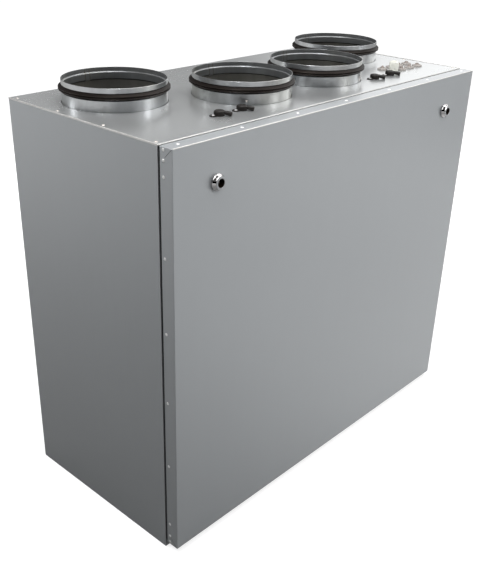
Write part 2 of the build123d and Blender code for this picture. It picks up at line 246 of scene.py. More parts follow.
@dataclass(frozen=True)
class CoatedSteel(Finish):
    """Satin coated sheet of the casing: grey, with a fine grain and faint clouds."""

    metallic: float = 0.35
    roughness: float = 0.40
    cloud: float = 0.07
    grain: float = 0.05
    coat: float = 0.75
    coat_roughness: float = 0.26

    def sockets(self, graph: Graph) -> Dict[str, Value]:
        """Clouds and grain in the colour, a soft orange-peel in the surface.

        Args:
            graph: The material's graph.

        Returns:
            The shader's sockets.
        """
        clouds, grain = graph.noise(3.1, 3.0), graph.noise(900.0, 1.0)
        flow = graph.noise(38.0, 2.0, (1.0, 1.0, 0.12))
        level = graph.around(1.0, (clouds, self.cloud), (grain, self.grain), (flow, 0.02))
        return {
            "Base Color": graph.tinted(self.colour, level),
            "Metallic": self.metallic,
            "Roughness": graph.around(self.roughness, (clouds, 0.10), (grain, 0.05)),
            "Coat Weight": self.coat,
            "Coat Roughness": self.coat_roughness,
            "Normal": graph.bump(graph.noise(420.0, 2.0), 0.00006, 0.5),
        }


@dataclass(frozen=True)
class GalvanisedSheet(Finish):
    """Zinc-coated sheet: pale spangle cells, rolling streaks and dull smudges."""

    metallic: float = 1.0
    roughness: float = 0.30
    spangle: float = 0.03
    spangle_scale: float = 85.0
    fine_scale: float = 263.5
    streak: float = 0.03

    def sockets(self, graph: Graph) -> Dict[str, Value]:
        """Spangle in the colour, long streaks and broad smudges over it.

        Args:
            graph: The material's graph.

        Returns:
            The shader's sockets.
        """
        coarse, fine = (graph.part(graph.cells(scale)) for scale in (self.spangle_scale, self.fine_scale))
        streak, smudge = graph.noise(260.0, 2.0, (0.03, 1.0, 1.0)), graph.noise(6.0, 2.0)
        level = graph.around(1.0, (coarse, self.spangle), (fine, self.spangle * 0.5), (streak, self.streak),
                             (smudge, 0.06))
        return {
            "Base Color": graph.tinted(self.colour, level),
            "Metallic": self.metallic,
            "Roughness": graph.around(self.roughness, (smudge, 0.05), (streak, self.streak)),
            "Normal": graph.bump(graph.noise(2.5, 0.0), 0.00020, 0.2),
        }


@dataclass(frozen=True)
class CollarSteel(Finish):
    """Bright rolled sheet of a duct collar, with upright rolling marks that are partly painted reflection
    streaks, and a zinc bloom.
    """

    roughness: float = 0.28
    metallic: float = 1.0
    mark: float = 0.26
    warmth: Colour = (1.02, 1.0, 0.93)

    def sockets(self, graph: Graph) -> Dict[str, Value]:
        """Upright marks, partly rolling marks and partly painted reflection streaks, run through the colour;
        blooms warm and dull it in places.

        Args:
            graph: The material's graph.

        Returns:
            The shader's sockets.
        """
        # Upright marks in the colour: rolling marks, also standing in for mirrored streaks as painted
        # reflection.
        marks = graph.noise(60.0, 1.0, (1.0, 1.0, 0.06))
        dull = graph.noise(9.0, 1.0).over(0.40, 0.80)
        level = graph.around(0.97, (marks, self.mark), (graph.part(graph.cells(140.0)), 0.04)) - dull * 0.06
        warm = tuple(part * share for part, share in zip(self.colour, self.warmth))
        return {
            "Base Color": graph.mixed(dull, graph.tinted(self.colour, level), graph.tinted(warm, level)),
            "Metallic": self.metallic,
            "Roughness": dull * 0.06 + self.roughness,
        }


@dataclass(frozen=True)
class PlainMetal(Finish):
    """Small metal parts: rivets, screws, cams and motor housings."""

    metallic: float = 1.0
    roughness: float = 0.28

    def sockets(self, graph: Graph) -> Dict[str, Value]:
        """A fine scratch pattern in gloss and colour.

        Args:
            graph: The material's graph.

        Returns:
            The shader's sockets.
        """
        scratch, cloud = graph.noise(600.0, 2.0, (1.0, 0.2, 1.0)), graph.noise(60.0, 2.0)
        return {
            "Base Color": graph.tinted(self.colour, graph.around(0.97, (cloud, 0.12), (scratch, 0.05))),
            "Metallic": self.metallic,
            "Roughness": graph.around(self.roughness, (scratch, 0.10), (cloud, 0.08)),
            "Normal": graph.bump(scratch, 0.00004, 0.3),
        }


@dataclass(frozen=True)
class Rubber(Finish):
    """Dark rubber with a dusty bloom and a faint moulding texture."""

    roughness: float = 0.50
    sheen: float = 0.45
    dust: Colour = (0.16, 0.14, 0.125)
    dust_share: float = 0.35
    tint: Colour = (1.0, 0.88, 0.80)

    def sockets(self, graph: Graph) -> Dict[str, Value]:
        """Dust lies in soft patches, and the moulding grain shows under it.

        Args:
            graph: The material's graph.

        Returns:
            The shader's sockets.
        """
        patches, grain = graph.noise(45.0, 4.0), graph.noise(1500.0, 1.0)
        dusty = patches.over(0.42, 0.80) * self.dust_share
        return {
            "Base Color": graph.mixed(dusty, self.colour, self.dust),
            "Roughness": graph.around(self.roughness, (grain, 0.06)) + dusty * 0.4,
            "Specular IOR Level": self.sheen,
            "Specular Tint": (*self.tint, 1.0),
            "Normal": graph.bump(grain + patches, 0.00012, 0.5),
        }


@dataclass(frozen=True)
class Foam(Finish):
    """Closed-cell foam strip with open pores in its skin."""

    roughness: float = 0.92

    def sockets(self, graph: Graph) -> Dict[str, Value]:
        """Pores darken and dent the skin.

        Args:
            graph: The material's graph.

        Returns:
            The shader's sockets.
        """
        pore = graph.cells(900.0, "Distance")
        level = graph.around(0.6, (graph.noise(60.0, 2.0), 0.4)) + pore * 0.7
        return {
            "Base Color": graph.tinted(self.colour, level),
            "Roughness": self.roughness,
            "Normal": graph.bump(pore, 0.0005, 0.6),
        }


@dataclass(frozen=True)
class MouldedPlastic(Finish):
    """Injection-moulded plastic with a fine spark-eroded grain and flow marks."""

    roughness: float = 0.45
    shine: float = 0.5

    def sockets(self, graph: Graph) -> Dict[str, Value]:
        """Grain in the surface; broad flow marks in colour and gloss.

        Args:
            graph: The material's graph.

        Returns:
            The shader's sockets.
        """
        flow, grain = graph.noise(50.0, 3.0), graph.noise(2200.0, 1.0)
        return {
            "Base Color": graph.tinted(self.colour, graph.around(1.0, (flow, 0.14), (grain, 0.05))),
            "Roughness": graph.around(self.roughness, (flow, 0.12), (grain, 0.08)),
            "Specular IOR Level": self.shine,
            "Normal": graph.bump(grain, 0.00005, 0.5),
        }


@dataclass(frozen=True)
class Chrome(Finish):
    """Bright chrome plate over a cast body."""

    roughness: float = 0.09

    def sockets(self, graph: Graph) -> Dict[str, Value]:
        """A trace of haze and a faint casting ripple.

        Args:
            graph: The material's graph.

        Returns:
            The shader's sockets.
        """
        haze = graph.noise(300.0, 3.0)
        return {
            "Base Color": graph.tinted(self.colour, graph.around(0.98, (haze, 0.06))),
            "Metallic": 1.0,
            "Roughness": haze.over(0.45, 0.8) * 0.12 + self.roughness,
            "Normal": graph.bump(graph.noise(120.0, 1.0), 0.0001, 0.25),
        }


@dataclass(frozen=True)
class FilterMedia(Finish):
    """White needled filter fleece."""

    roughness: float = 0.95

    def sockets(self, graph: Graph) -> Dict[str, Value]:
        """Tangled fibres in colour and surface.

        Args:
            graph: The material's graph.

        Returns:
            The shader's sockets.
        """
        fibres, cloud = graph.noise(700.0, 4.0, (1.0, 0.35, 1.0), 0.7), graph.noise(25.0, 3.0)
        return {
            "Base Color": graph.tinted(self.colour, graph.around(0.95, (fibres, 0.25), (cloud, 0.08))),
            "Roughness": self.roughness,
            "Normal": graph.bump(fibres, 0.0004, 0.7),
        }


class Finishes:
    """The finishes of this unit by what they cover."""

    CASING = CoatedSteel("casing_steel", (0.345, 0.362, 0.376))
    ROOF = GalvanisedSheet("roof_steel", (0.62, 0.635, 0.64), metallic=0.82, roughness=0.28,
                           spangle=0.005, streak=0.002)
    LINER = GalvanisedSheet("liner_steel", (0.56, 0.57, 0.58), metallic=0.7, roughness=0.42)
    COLLAR = CollarSteel("collar_steel", (0.63, 0.645, 0.66))
    # A darker copy of the collar steel for the tube's inside: painted shade.
    COLLAR_INSIDE_SHADE = CollarSteel("collar_steel", (0.33, 0.34, 0.35), roughness=0.30, metallic=0.85)
    # A still darker copy for the tube's inside below the bead: painted shade; the lap strip's two edges also
    # take it as dark seam lines.
    COLLAR_DEEP_SHADE_AND_SEAM = CollarSteel("collar_steel", (0.23, 0.225, 0.205), roughness=0.42, metallic=0.80)
    # A near-black copy for a band at the bead's lower step inside the tube: a painted shadow line.
    COLLAR_SHADOW_LINE = CollarSteel("collar_steel", (0.06, 0.06, 0.055), roughness=0.45, metallic=0.60)
    EDGE = GalvanisedSheet("roof_steel", (0.64, 0.635, 0.62), metallic=0.75, roughness=0.36)
    # A darker copy of the roof steel for the roof's front fold: painted shade that dims its highlight.
    FRONT_EDGE_SHADE = GalvanisedSheet("roof_steel", (0.52, 0.52, 0.51), metallic=0.60, roughness=0.42, streak=0.0)
    # A lighter copy of the casing steel for the door's top fold: a painted highlight.
    DOOR_EDGE_HIGHLIGHT = GalvanisedSheet("casing_steel", (0.64, 0.63, 0.61), metallic=0.6, roughness=0.36)
    ROOF_RIVET = PlainMetal("roof_steel", (0.60, 0.56, 0.52), metallic=0.5, roughness=0.40)
    RIVET = PlainMetal("casing_steel", (0.80, 0.80, 0.79), metallic=0.35, roughness=0.34)
    SEAM = PlainMetal("casing_steel", (0.05, 0.05, 0.05), metallic=0.2, roughness=0.7)
    SEAL = Rubber("seal_rubber", (0.006, 0.0045, 0.004), roughness=0.50, sheen=0.10, dust_share=0.0)
    SEAL_LIP = Rubber("seal_rubber", (0.008, 0.006, 0.005), roughness=0.34, sheen=0.26, dust_share=0.05)
    FOAM = Foam("seal_foam", (0.020, 0.020, 0.020))
    CHROME = Chrome("lock_chrome", (0.52, 0.51, 0.51), roughness=0.11)
    LOCK_FACE = PlainMetal("lock_chrome", (0.36, 0.37, 0.38), metallic=0.4, roughness=0.45)
    LOCK = PlainMetal("lock_core", (0.022, 0.015, 0.010), metallic=0.2, roughness=0.55)
    CAM = PlainMetal("lock_core", (0.55, 0.54, 0.50), roughness=0.35)
    TAP = MouldedPlastic("tap_plastic", (0.008, 0.0062, 0.0052), roughness=0.50, shine=0.30)
    TAP_MOUTH = MouldedPlastic("tap_plastic", (0.035, 0.024, 0.017), roughness=0.6)
    SCREW = PlainMetal("tap_plastic", (0.62, 0.62, 0.61), metallic=0.8, roughness=0.30)
    GLAND = MouldedPlastic("gland_plastic", (0.58, 0.58, 0.53), roughness=0.48)
    GLAND_SEAL = Rubber("gland_plastic", (0.58, 0.57, 0.50), dust=(0.40, 0.39, 0.34))
    GROMMET = Rubber("grommet_rubber", (0.275, 0.258, 0.245), dust=(0.34, 0.325, 0.305))
    GROMMET_TIP = Rubber("grommet_rubber", (0.215, 0.188, 0.176), dust=(0.29, 0.265, 0.25))
    GROMMET_PIP = Rubber("grommet_rubber", (0.20, 0.145, 0.120), dust_share=0.1)
    FOIL = GalvanisedSheet("exchanger_foil", (0.70, 0.71, 0.72), roughness=0.26, spangle=0.02)
    FRAME_ALU = PlainMetal("exchanger_foil", (0.72, 0.72, 0.73), roughness=0.30)
    FLEECE = FilterMedia("filter_media", (0.78, 0.78, 0.75))
    FILTER_FRAME = MouldedPlastic("filter_media", (0.60, 0.60, 0.57), roughness=0.6)
    FAN = MouldedPlastic("fan_plastic", (0.045, 0.045, 0.050), roughness=0.40)
    MOTOR = PlainMetal("motor_metal", (0.070, 0.070, 0.075), metallic=0.4, roughness=0.42)
    TRAY = GalvanisedSheet("tray_metal", (0.62, 0.62, 0.62), roughness=0.34)
    BOX = MouldedPlastic("box_plastic", (0.33, 0.34, 0.35), roughness=0.5)


# Shapes

def swage(start: Point, end: Point, count: int = 6) -> List[Point]:
    """Points of a smooth step in a rolled profile.

    Args:
        start: Radius and height where the step begins.
        end: Radius and height where it ends.
        count: How many parts it is cut into.

    Returns:
        The points, both ends included.
    """
    points = []
    for i in range(count + 1):
        share = i / count
        ease = share * share * (3.0 - 2.0 * share)
        points.append((start[0] + (end[0] - start[0]) * ease, start[1] + (end[1] - start[1]) * share))
    return points


def arc(centre: Point, radius: float, start: float, end: float, count: int = 6) -> List[Point]:
    """Points of a round corner in a profile.

    Args:
        centre: Radius and height of the corner's centre.
        radius: The corner's own radius.
        start: The first angle, in degrees.
        end: The last angle, in degrees.
        count: How many parts it is cut into.

    Returns:
        The points, both ends included.
    """
    angles = [math.radians(start + (end - start) * i / count) for i in range(count + 1)]
    return [(centre[0] + radius * math.cos(angle), centre[1] + radius * math.sin(angle)) for angle in angles]


def at(x: float, y: float, z: float, facing: Facing = Facing.UP) -> Matrix:
    """A place in the frame, with the way that an upright part there looks."""
    return Matrix.Translation((x, y, z)) @ facing.value


def turn(angle: float, axis: str = "Z") -> Matrix:
    """A turn about an axis, in degrees."""
    return Matrix.Rotation(math.radians(angle), 4, axis)


def everywhere(spot: Vector) -> bool:
    """Pick every face."""
    return True


class Shape:
    """A mesh in the making, in metres."""

    def __init__(self) -> None:
        """Start with no faces."""
        self.mesh = bmesh.new()

    @classmethod
    def block(cls, low: Sequence[float], high: Sequence[float], fold: float = 0.0, steps: int = 2) -> "Shape":
        """A block between two corners, with rounded edges.

        Args:
            low: The lowest corner.
            high: The highest corner.
            fold: The radius of its edges.
            steps: How many faces round an edge.

        Returns:
            The block.
        """
        shape = cls()
        low, high = Vector(low), Vector(high)
        place = Matrix.LocRotScale((low + high) / 2.0, None, high - low)
        bmesh.ops.create_cube(shape.mesh, size=1.0, matrix=place)
        return shape.rounded(shape.mesh.edges[:], fold, steps)

    @classmethod
    def post(cls, radius: float, height: float, sides: int = 32, fold: float = 0.0) -> "Shape":
        """An upright cylinder that stands at height 0, with a rounded top edge.

        Args:
            radius: Its radius.
            height: Its height.
            sides: How many flat sides it has.
            fold: The radius of the top edge.

        Returns:
            The post.
        """
        shape = cls()
        bmesh.ops.create_cone(shape.mesh, cap_ends=True, segments=sides, radius1=radius, radius2=radius,
                              depth=height, matrix=at(0.0, 0.0, height / 2.0))
        rim = [edge for edge in shape.mesh.edges if all(vert.co.z > height / 2.0 for vert in edge.verts)]
        return shape.rounded(rim, fold, 3)

    @classmethod
    def turned(cls, profile: Sequence[Point], steps: int = 48, angle: float = 360.0) -> "Shape":
        """A closed profile of radius and height, turned about the vertical.

        Args:
            profile: The profile's points in order; the last joins the first.
            steps: How many faces there are round the turn.
            angle: How far it turns, in degrees.

        Returns:
            The turned shape, closed and facing outwards.
        """
        shape = cls()
        mesh = shape.mesh
        points = [mesh.verts.new((radius, 0.0, height)) for radius, height in profile]
        edges = [mesh.edges.new(pair) for pair in zip(points, points[1:] + points[:1])]
        full = angle >= 360.0
        bmesh.ops.spin(mesh, geom=points + edges, axis=(0.0, 0.0, 1.0), cent=(0.0, 0.0, 0.0),
                       angle=math.radians(angle), steps=steps, use_merge=full, use_duplicate=False)
        bmesh.ops.remove_doubles(mesh, verts=mesh.verts[:], dist=1e-6)
        loose = [edge for edge in mesh.edges if not edge.link_faces]
        bmesh.ops.delete(mesh, geom=loose, context="EDGES")
        if not full:
            rims = [edge for edge in mesh.edges if edge.is_boundary]
            bmesh.ops.holes_fill(mesh, edges=rims, sides=0)
        bmesh.ops.recalc_face_normals(mesh, faces=mesh.faces[:])
        return shape

    @classmethod
    def plate(cls, outline: Sequence[Vector], growth: Vector) -> "Shape":
        """A flat plate from its outline, grown along one direction.

        Args:
            outline: The corners of one face, in order.
            growth: The way from that face to the other.

        Returns:
            The plate.
        """
        shape = cls()
        face = shape.mesh.faces.new([shape.mesh.verts.new(corner) for corner in outline])
        grown = bmesh.ops.extrude_face_region(shape.mesh, geom=[face])
        lifted = [item for item in grown["geom"] if isinstance(item, bmesh.types.BMVert)]
        bmesh.ops.translate(shape.mesh, verts=lifted, vec=growth)
        bmesh.ops.recalc_face_normals(shape.mesh, faces=shape.mesh.faces[:])
        return shape

    def rounded(self, edges: Sequence[bmesh.types.BMEdge], fold: float, steps: int) -> "Shape":
        """Round some edges, if the fold has a size.

        Args:
            edges: The edges to round.
            fold: The radius.
            steps: How many faces round an edge.

        Returns:
            The same shape.
        """
        if fold > 0.0:
            bmesh.ops.bevel(self.mesh, geom=edges, offset=fold, offset_type="OFFSET", segments=steps,
                            profile=0.5, affect="EDGES", material=-1)
        return self

    def stretched_left(self, length: float) -> "Shape":
        """Pull the half at negative X out, so that a circle becomes a slot.

        Args:
            length: How far it is pulled.

        Returns:
            The same shape.
        """
        half = [vert for vert in self.mesh.verts if vert.co.x < -1e-6]
        bmesh.ops.translate(self.mesh, verts=half, vec=(-length, 0.0, 0.0))
        return self

    def faceted(self, flats: float, heading: float = 0.0) -> "Shape":
        """Cut a turned shape to a hexagon.

        Args:
            flats: The hexagon's width across its flats.
            heading: The way that one flat looks, in degrees.

        Returns:
            The same shape.
        """
        for vert in self.mesh.verts:
            reach = math.hypot(vert.co.x, vert.co.y)
            if reach < 1e-6:
                continue
            angle = math.degrees(math.atan2(vert.co.y, vert.co.x)) - heading
            off = math.radians((angle + 30.0) % 60.0 - 30.0)
            limit = flats / 2.0 / math.cos(off)
            if reach > limit:
                vert.co.xy *= limit / reach
        return self

    def painted(self, index: int, chosen: Callable[[Vector], bool] = everywhere) -> "Shape":
        """Give the faces that a test picks another of the piece's materials.

        Args:
            index: The material's place in the piece's list.
            chosen: A test on a face's middle point.

        Returns:
            The same shape.
        """
        for face in self.mesh.faces:
            if chosen(face.calc_center_median()):
                face.material_index = index
        return self

    def moved(self, place: Matrix) -> "Shape":
        """Turn and move the whole shape."""
        self.mesh.transform(place)
        return self

    def add(self, other: "Shape", places: Iterable[Matrix] = (Matrix.Identity(4),)) -> "Shape":
        """Add a copy of another shape at each place.

        Args:
            other: The shape to copy.
            places: Where the copies go.

        Returns:
            This shape, grown.
        """
        held = bpy.data.meshes.new("held")
        for place in places:
            copy = other.mesh.copy()
            copy.transform(place)
            copy.to_mesh(held)
            copy.free()
            self.mesh.from_mesh(held)
        bpy.data.meshes.remove(held)
        return self

    def piece(self, name: str, body: str, finishes: Sequence[Finish], *stands_for: str) -> bpy.types.Object:
        """Turn the shape into a finished piece of the unit.

        Args:
            name: The piece's name.
            body: The body it rides on.
            finishes: Its finishes, in the order of its material numbers.
            stands_for: The nodes that it replaces.

        Returns:
            The new object.
        """
        data = bpy.data.meshes.new(name)
        self.mesh.normal_update()
        self.mesh.to_mesh(data)
        self.mesh.free()
        data.polygons.foreach_set("use_smooth", [True] * len(data.polygons))
        data.set_sharp_from_angle(angle=SMOOTH_LIMIT)
        for finish in finishes:
            data.materials.append(material_of(finish))
        thing = bpy.data.objects.new(name, data)
        bpy.context.scene.collection.objects.link(thing)
        if stands_for:
            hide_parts(*stands_for)
        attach(thing, body)
        LOG.info("%s: %d faces, rides on %s", name, len(data.polygons), body)
        return thing


def dress(finish: Finish, *nodes: str) -> None:
    """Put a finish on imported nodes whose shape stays.

    Args:
        finish: The finish for all of each node.
        nodes: The nodes' names.
    """
    for node in nodes:
        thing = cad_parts[node]
        if not thing.material_slots:
            thing.data.materials.append(None)
        for slot in thing.material_slots:
            slot.material = material_of(finish)
        LOG.info("%s: finished as %s", node, finish.label)


def rivet(radius: float = 0.0040, height: float = 0.0010, sides: int = 14) -> Shape:
    """The head of a pop rivet, with the dimple of its broken pin.

    Args:
        radius: The head's radius.
        height: How proud it stands.
        sides: How many faces round it.

    Returns:
        The head, upright on height 0.
    """
    dome = ((0.0, 0.55), (0.24, 0.60), (0.34, 0.98), (0.66, 0.86), (0.92, 0.42), (1.0, 0.0))
    profile = [(radius * out, height * up) for out, up in dome] + [(radius, -HEAD_SINK), (0.0, -HEAD_SINK)]
    return Shape.turned(profile, sides)


def screw(radius: float, height: float, sides: int = 18) -> Shape:
    """A round screw head.

    Args:
        radius: The head's radius.
        height: How proud it stands.
        sides: How many faces round it.

    Returns:
        The head, upright on height 0.
    """
    angles = [math.radians(angle) for angle in (0, 24, 44, 62, 78)]
    dome = [(radius * math.sin(angle), height * math.cos(angle)) for angle in angles]
    return Shape.turned(dome + [(radius, 0.0), (radius, -HEAD_SINK), (0.0, -HEAD_SINK)], sides)


# The unit

@dataclass
class Casing:
    """The insulated box without its door."""

    hem_width: float = 0.0042
    hem_rise: float = 0.0012
    hem_drop: float = 0.0030
    hem_fold: float = 0.0011
    hem_overlap: float = 0.0002
    back_gap: float = 0.0040
    front_hem_reach: float = 0.0018
    front_hem_depth: float = 0.0028
    front_hem_fold: float = 0.0019
    rivet_inset: float = 0.0128
    rivet_rows: Tuple[float, ...] = (0.265, 0.105, -0.058, -0.226)
    back_rivet_pitch: float = 0.182
    back_rivet_inset: float = 0.026
    body: str = "casing"

    def __post_init__(self) -> None:
        """Read the roof's and the back's place from the frame."""
        self.roof_low, self.roof_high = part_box("top_panel")
        self.back_low, self.back_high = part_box("back_panel")

    def build(self) -> None:
        """Dress the panels and add their edges and rivets."""
        dress(Finishes.CASING, "left_side_panel", "right_side_panel", "back_panel", "base_panel")
        dress(Finishes.ROOF, "top_panel")
        dress(Finishes.LINER, "roof_insulation")
        dress(Finishes.FOAM, "door_seal")
        self.edges()
        self.roof_rivets()
        self.back_rivets()

    def edges(self) -> None:
        """Rounded folds along the roof's two sides and its front."""
        low, high = self.roof_low, self.roof_high
        z_low, z_high = high.z - self.hem_drop, high.z + self.hem_rise
        sides = Shape()
        for x_low, x_high in ((low.x - self.hem_overlap, low.x + self.hem_width),
                              (high.x - self.hem_width, high.x + self.hem_overlap)):
            sides.add(Shape.block((x_low, low.y, z_low), (x_high, high.y - self.back_gap, z_high),
                                  self.hem_fold, 3))
        sides.piece("roof_side_folds", self.body, [Finishes.EDGE])
        # The front fold takes the darker copy of the roof steel: painted shade that dims its highlight.
        front = Shape.block((low.x, low.y - self.front_hem_reach, z_low),
                            (high.x, low.y + self.front_hem_depth, z_high), self.front_hem_fold, 4)
        front.piece("roof_front_fold", self.body, [Finishes.FRONT_EDGE_SHADE])

    def roof_rivets(self) -> None:
        """A row of rivets along each side of the roof."""
        rows = Shape()
        rows.add(rivet(), [at(x, y, self.roof_high.z)
                           for x in (self.roof_low.x + self.rivet_inset, self.roof_high.x - self.rivet_inset)
                           for y in self.rivet_rows])
        rows.piece("roof_rivets", self.body, [Finishes.ROOF_RIVET])

    def back_rivets(self) -> None:
        """Rivets down both sides of the back sheet."""
        low, high, inset = self.back_low, self.back_high, self.back_rivet_inset
        span = high.z - low.z - 2 * inset
        gaps = int(span / self.back_rivet_pitch)
        rows = Shape()
        rows.add(rivet(), [at(x, high.y, low.z + inset + i * span / gaps, Facing.BACK)
                           for x in (low.x + inset / 2, high.x - inset / 2) for i in range(gaps + 1)])
        rows.piece("back_rivets", self.body, [Finishes.RIVET])


@dataclass
class Door:
    """The lift-off front door with its folded flanges."""

    flange_rivet_depth: float = 0.026
    top_rivet_depth: float = 0.020
    first_top_rivet: float = 0.034
    top_rivet_count: int = 7
    flange_rivets: Tuple[float, ...] = (1.0435, 1.0215, 0.987, 0.808, 0.627, 0.445, 0.264, 0.084, 0.046,
                                        0.027)
    seam_length: float = 0.028
    seam_width: float = 0.0009
    seam_rise: float = 0.00012
    seam_inset: float = 0.0015
    edge_depth: float = 0.0024
    edge_rise: float = 0.0003
    edge_fold: float = 0.0011
    body: str = "door"

    def __post_init__(self) -> None:
        """Read the door's place from the frame."""
        self.low, self.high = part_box("door_skin")

    def build(self) -> None:
        """Dress the sheet and the liner and add rivets and seams."""
        dress(Finishes.CASING, "door_skin")
        dress(Finishes.LINER, "door_inner_panel")
        self.rivets()
        self.seams()
        self.top_edge()

    def top_edge(self) -> None:
        """A strip along the top fold of the door's face, in a lighter copy of the casing steel: a painted
        highlight.
        """
        low, high, rise, deep = self.low, self.high, self.edge_rise, self.edge_depth
        strip = Shape.block((low.x + deep, low.y - rise, high.z - deep),
                            (high.x - deep, low.y + deep, high.z + rise), self.edge_fold, 3)
        strip.piece("door_top_edge", self.body, [Finishes.DOOR_EDGE_HIGHLIGHT])

    def rivets(self) -> None:
        """Rivets along the top flange and down both side flanges."""
        low, high, first = self.low, self.high, self.first_top_rivet
        step = (high.x - low.x - 2 * first) / (self.top_rivet_count - 1)
        spots = [at(low.x + first + i * step, low.y + self.top_rivet_depth, high.z)
                 for i in range(self.top_rivet_count)]
        for x, facing in ((low.x, Facing.LEFT), (high.x, Facing.RIGHT)):
            spots += [at(x, low.y + self.flange_rivet_depth, z, facing) for z in self.flange_rivets]
        Shape().add(rivet(), spots).piece("door_rivets", self.body, [Finishes.RIVET])

    def seams(self) -> None:
        """Short mitre seams on the side flanges, at the four corners."""
        half = Vector((self.seam_rise, self.seam_width / 2, self.seam_length / 2))
        reach = half.z * math.cos(math.radians(45.0)) + self.seam_inset
        spots = [at(x, self.low.y + reach, z) @ turn(angle, "X") for x in (self.low.x, self.high.x)
                 for z, angle in ((self.high.z - reach, 45.0), (self.low.z + reach, -45.0))]
        Shape().add(Shape.block(-half, half), spots).piece("door_seams", self.body, [Finishes.SEAM])


@dataclass
class DoorLock:
    """One chrome rosette and its dark turning core."""

    side: Side
    rim: float = 0.0195
    rise: float = 0.0130
    face: float = 0.0138
    mouth: float = 0.0099
    bore: float = 0.0107
    sleeve: float = 0.0124
    door: float = 0.0360
    core: float = 0.0104
    core_sink: float = 0.0040
    pin: float = 0.0025
    pin_reach: float = 0.0100
    cam_back: float = 0.0440
    cam_thickness: float = 0.0040
    cam_half: float = 0.0090
    cam_reach: float = 0.0450
    nut_radius: float = 0.0090
    nut_height: float = 0.0035
    nut_flats: float = 0.0130

    def __post_init__(self) -> None:
        """Find the lock's axis from its rosette."""
        self.name = f"{self.side.word}_lock"
        low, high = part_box(f"{self.name}_bezel")
        self.centre = Vector(((low.x + high.x) / 2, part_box("door_skin")[0].y, (low.z + high.z) / 2))

    def build(self) -> None:
        """Make the rosette and the core."""
        place = at(*self.centre, Facing.FRONT)
        self.rosette().moved(place).piece(f"{self.side.word}_rosette", "door",
                                          [Finishes.CHROME, Finishes.LOCK, Finishes.LOCK_FACE],
                                          f"{self.name}_bezel")
        core = self.barrel().moved(place).add(self.cam())
        core.piece(f"{self.name}_barrel", self.name, [Finishes.LOCK, Finishes.CAM], f"{self.name}_core")

    def rosette(self) -> Shape:
        """A domed ring with a rolled lip, on a sleeve through the door.

        Returns:
            The rosette, which looks up from height 0.
        """
        dome = swage((self.rim, 0.0034), (self.face + 0.0008, self.rise - 0.0004), 9)
        lip = [(self.face, self.rise)]
        lip += arc((self.mouth + 0.0006, self.rise - 0.0006), 0.0006, 90.0, 180.0, 4)
        profile = [(self.rim - 0.0006, 0.0), (self.rim, 0.0008)] + dome + lip + [
            (self.mouth, self.rise - 0.0022), (self.bore, self.rise - 0.0030),
            (self.bore, -self.door), (self.sleeve, -self.door), (self.sleeve, 0.0),
        ]
        shape = Shape.turned(profile, 64)
        shape.painted(2, lambda p: p.xy.length < self.face + 0.0006 and p.z > self.rise - 0.0004)
        return shape.painted(1, lambda p: p.xy.length < self.bore + 0.0002 and p.z < self.rise - 0.0006)

    def barrel(self) -> Shape:
        """The barrel with its sunk face and key pin.

        Returns:
            The barrel, which looks up.
        """
        front, tip = -self.core_sink, self.pin_reach - self.core_sink
        profile = [
            (0.0, -self.cam_back), (self.core, -self.cam_back), (self.core, front - 0.0006),
            (self.core - 0.0006, front), (self.pin + 0.0030, front), (self.pin + 0.0026, front - 0.0010),
            (self.pin, front - 0.0010), (self.pin, tip - 0.0006), (self.pin - 0.0008, tip), (0.0, tip),
        ]
        return Shape.turned(profile, 40)

    def cam(self) -> Shape:
        """The flat steel tongue behind the door, with its nut.

        Returns:
            The cam in its place on the door.
        """
        plate = Shape.post(self.cam_half, self.cam_thickness, 28, 0.0005)
        plate.stretched_left(self.cam_reach - self.cam_half)
        corners = [(0.0, 0.0), (self.nut_radius, 0.0), (self.nut_radius, self.nut_height),
                   (0.0, self.nut_height)]
        nut = Shape.turned(corners, 24).faceted(self.nut_flats)
        plate.add(nut, [at(0.0, 0.0, 0.0001 - self.nut_height)])
        spot = self.centre + Vector((0.0, self.cam_back - self.cam_thickness, 0.0))
        return plate.moved(at(*spot, Facing.BACK) @ turn(90.0)).painted(1)


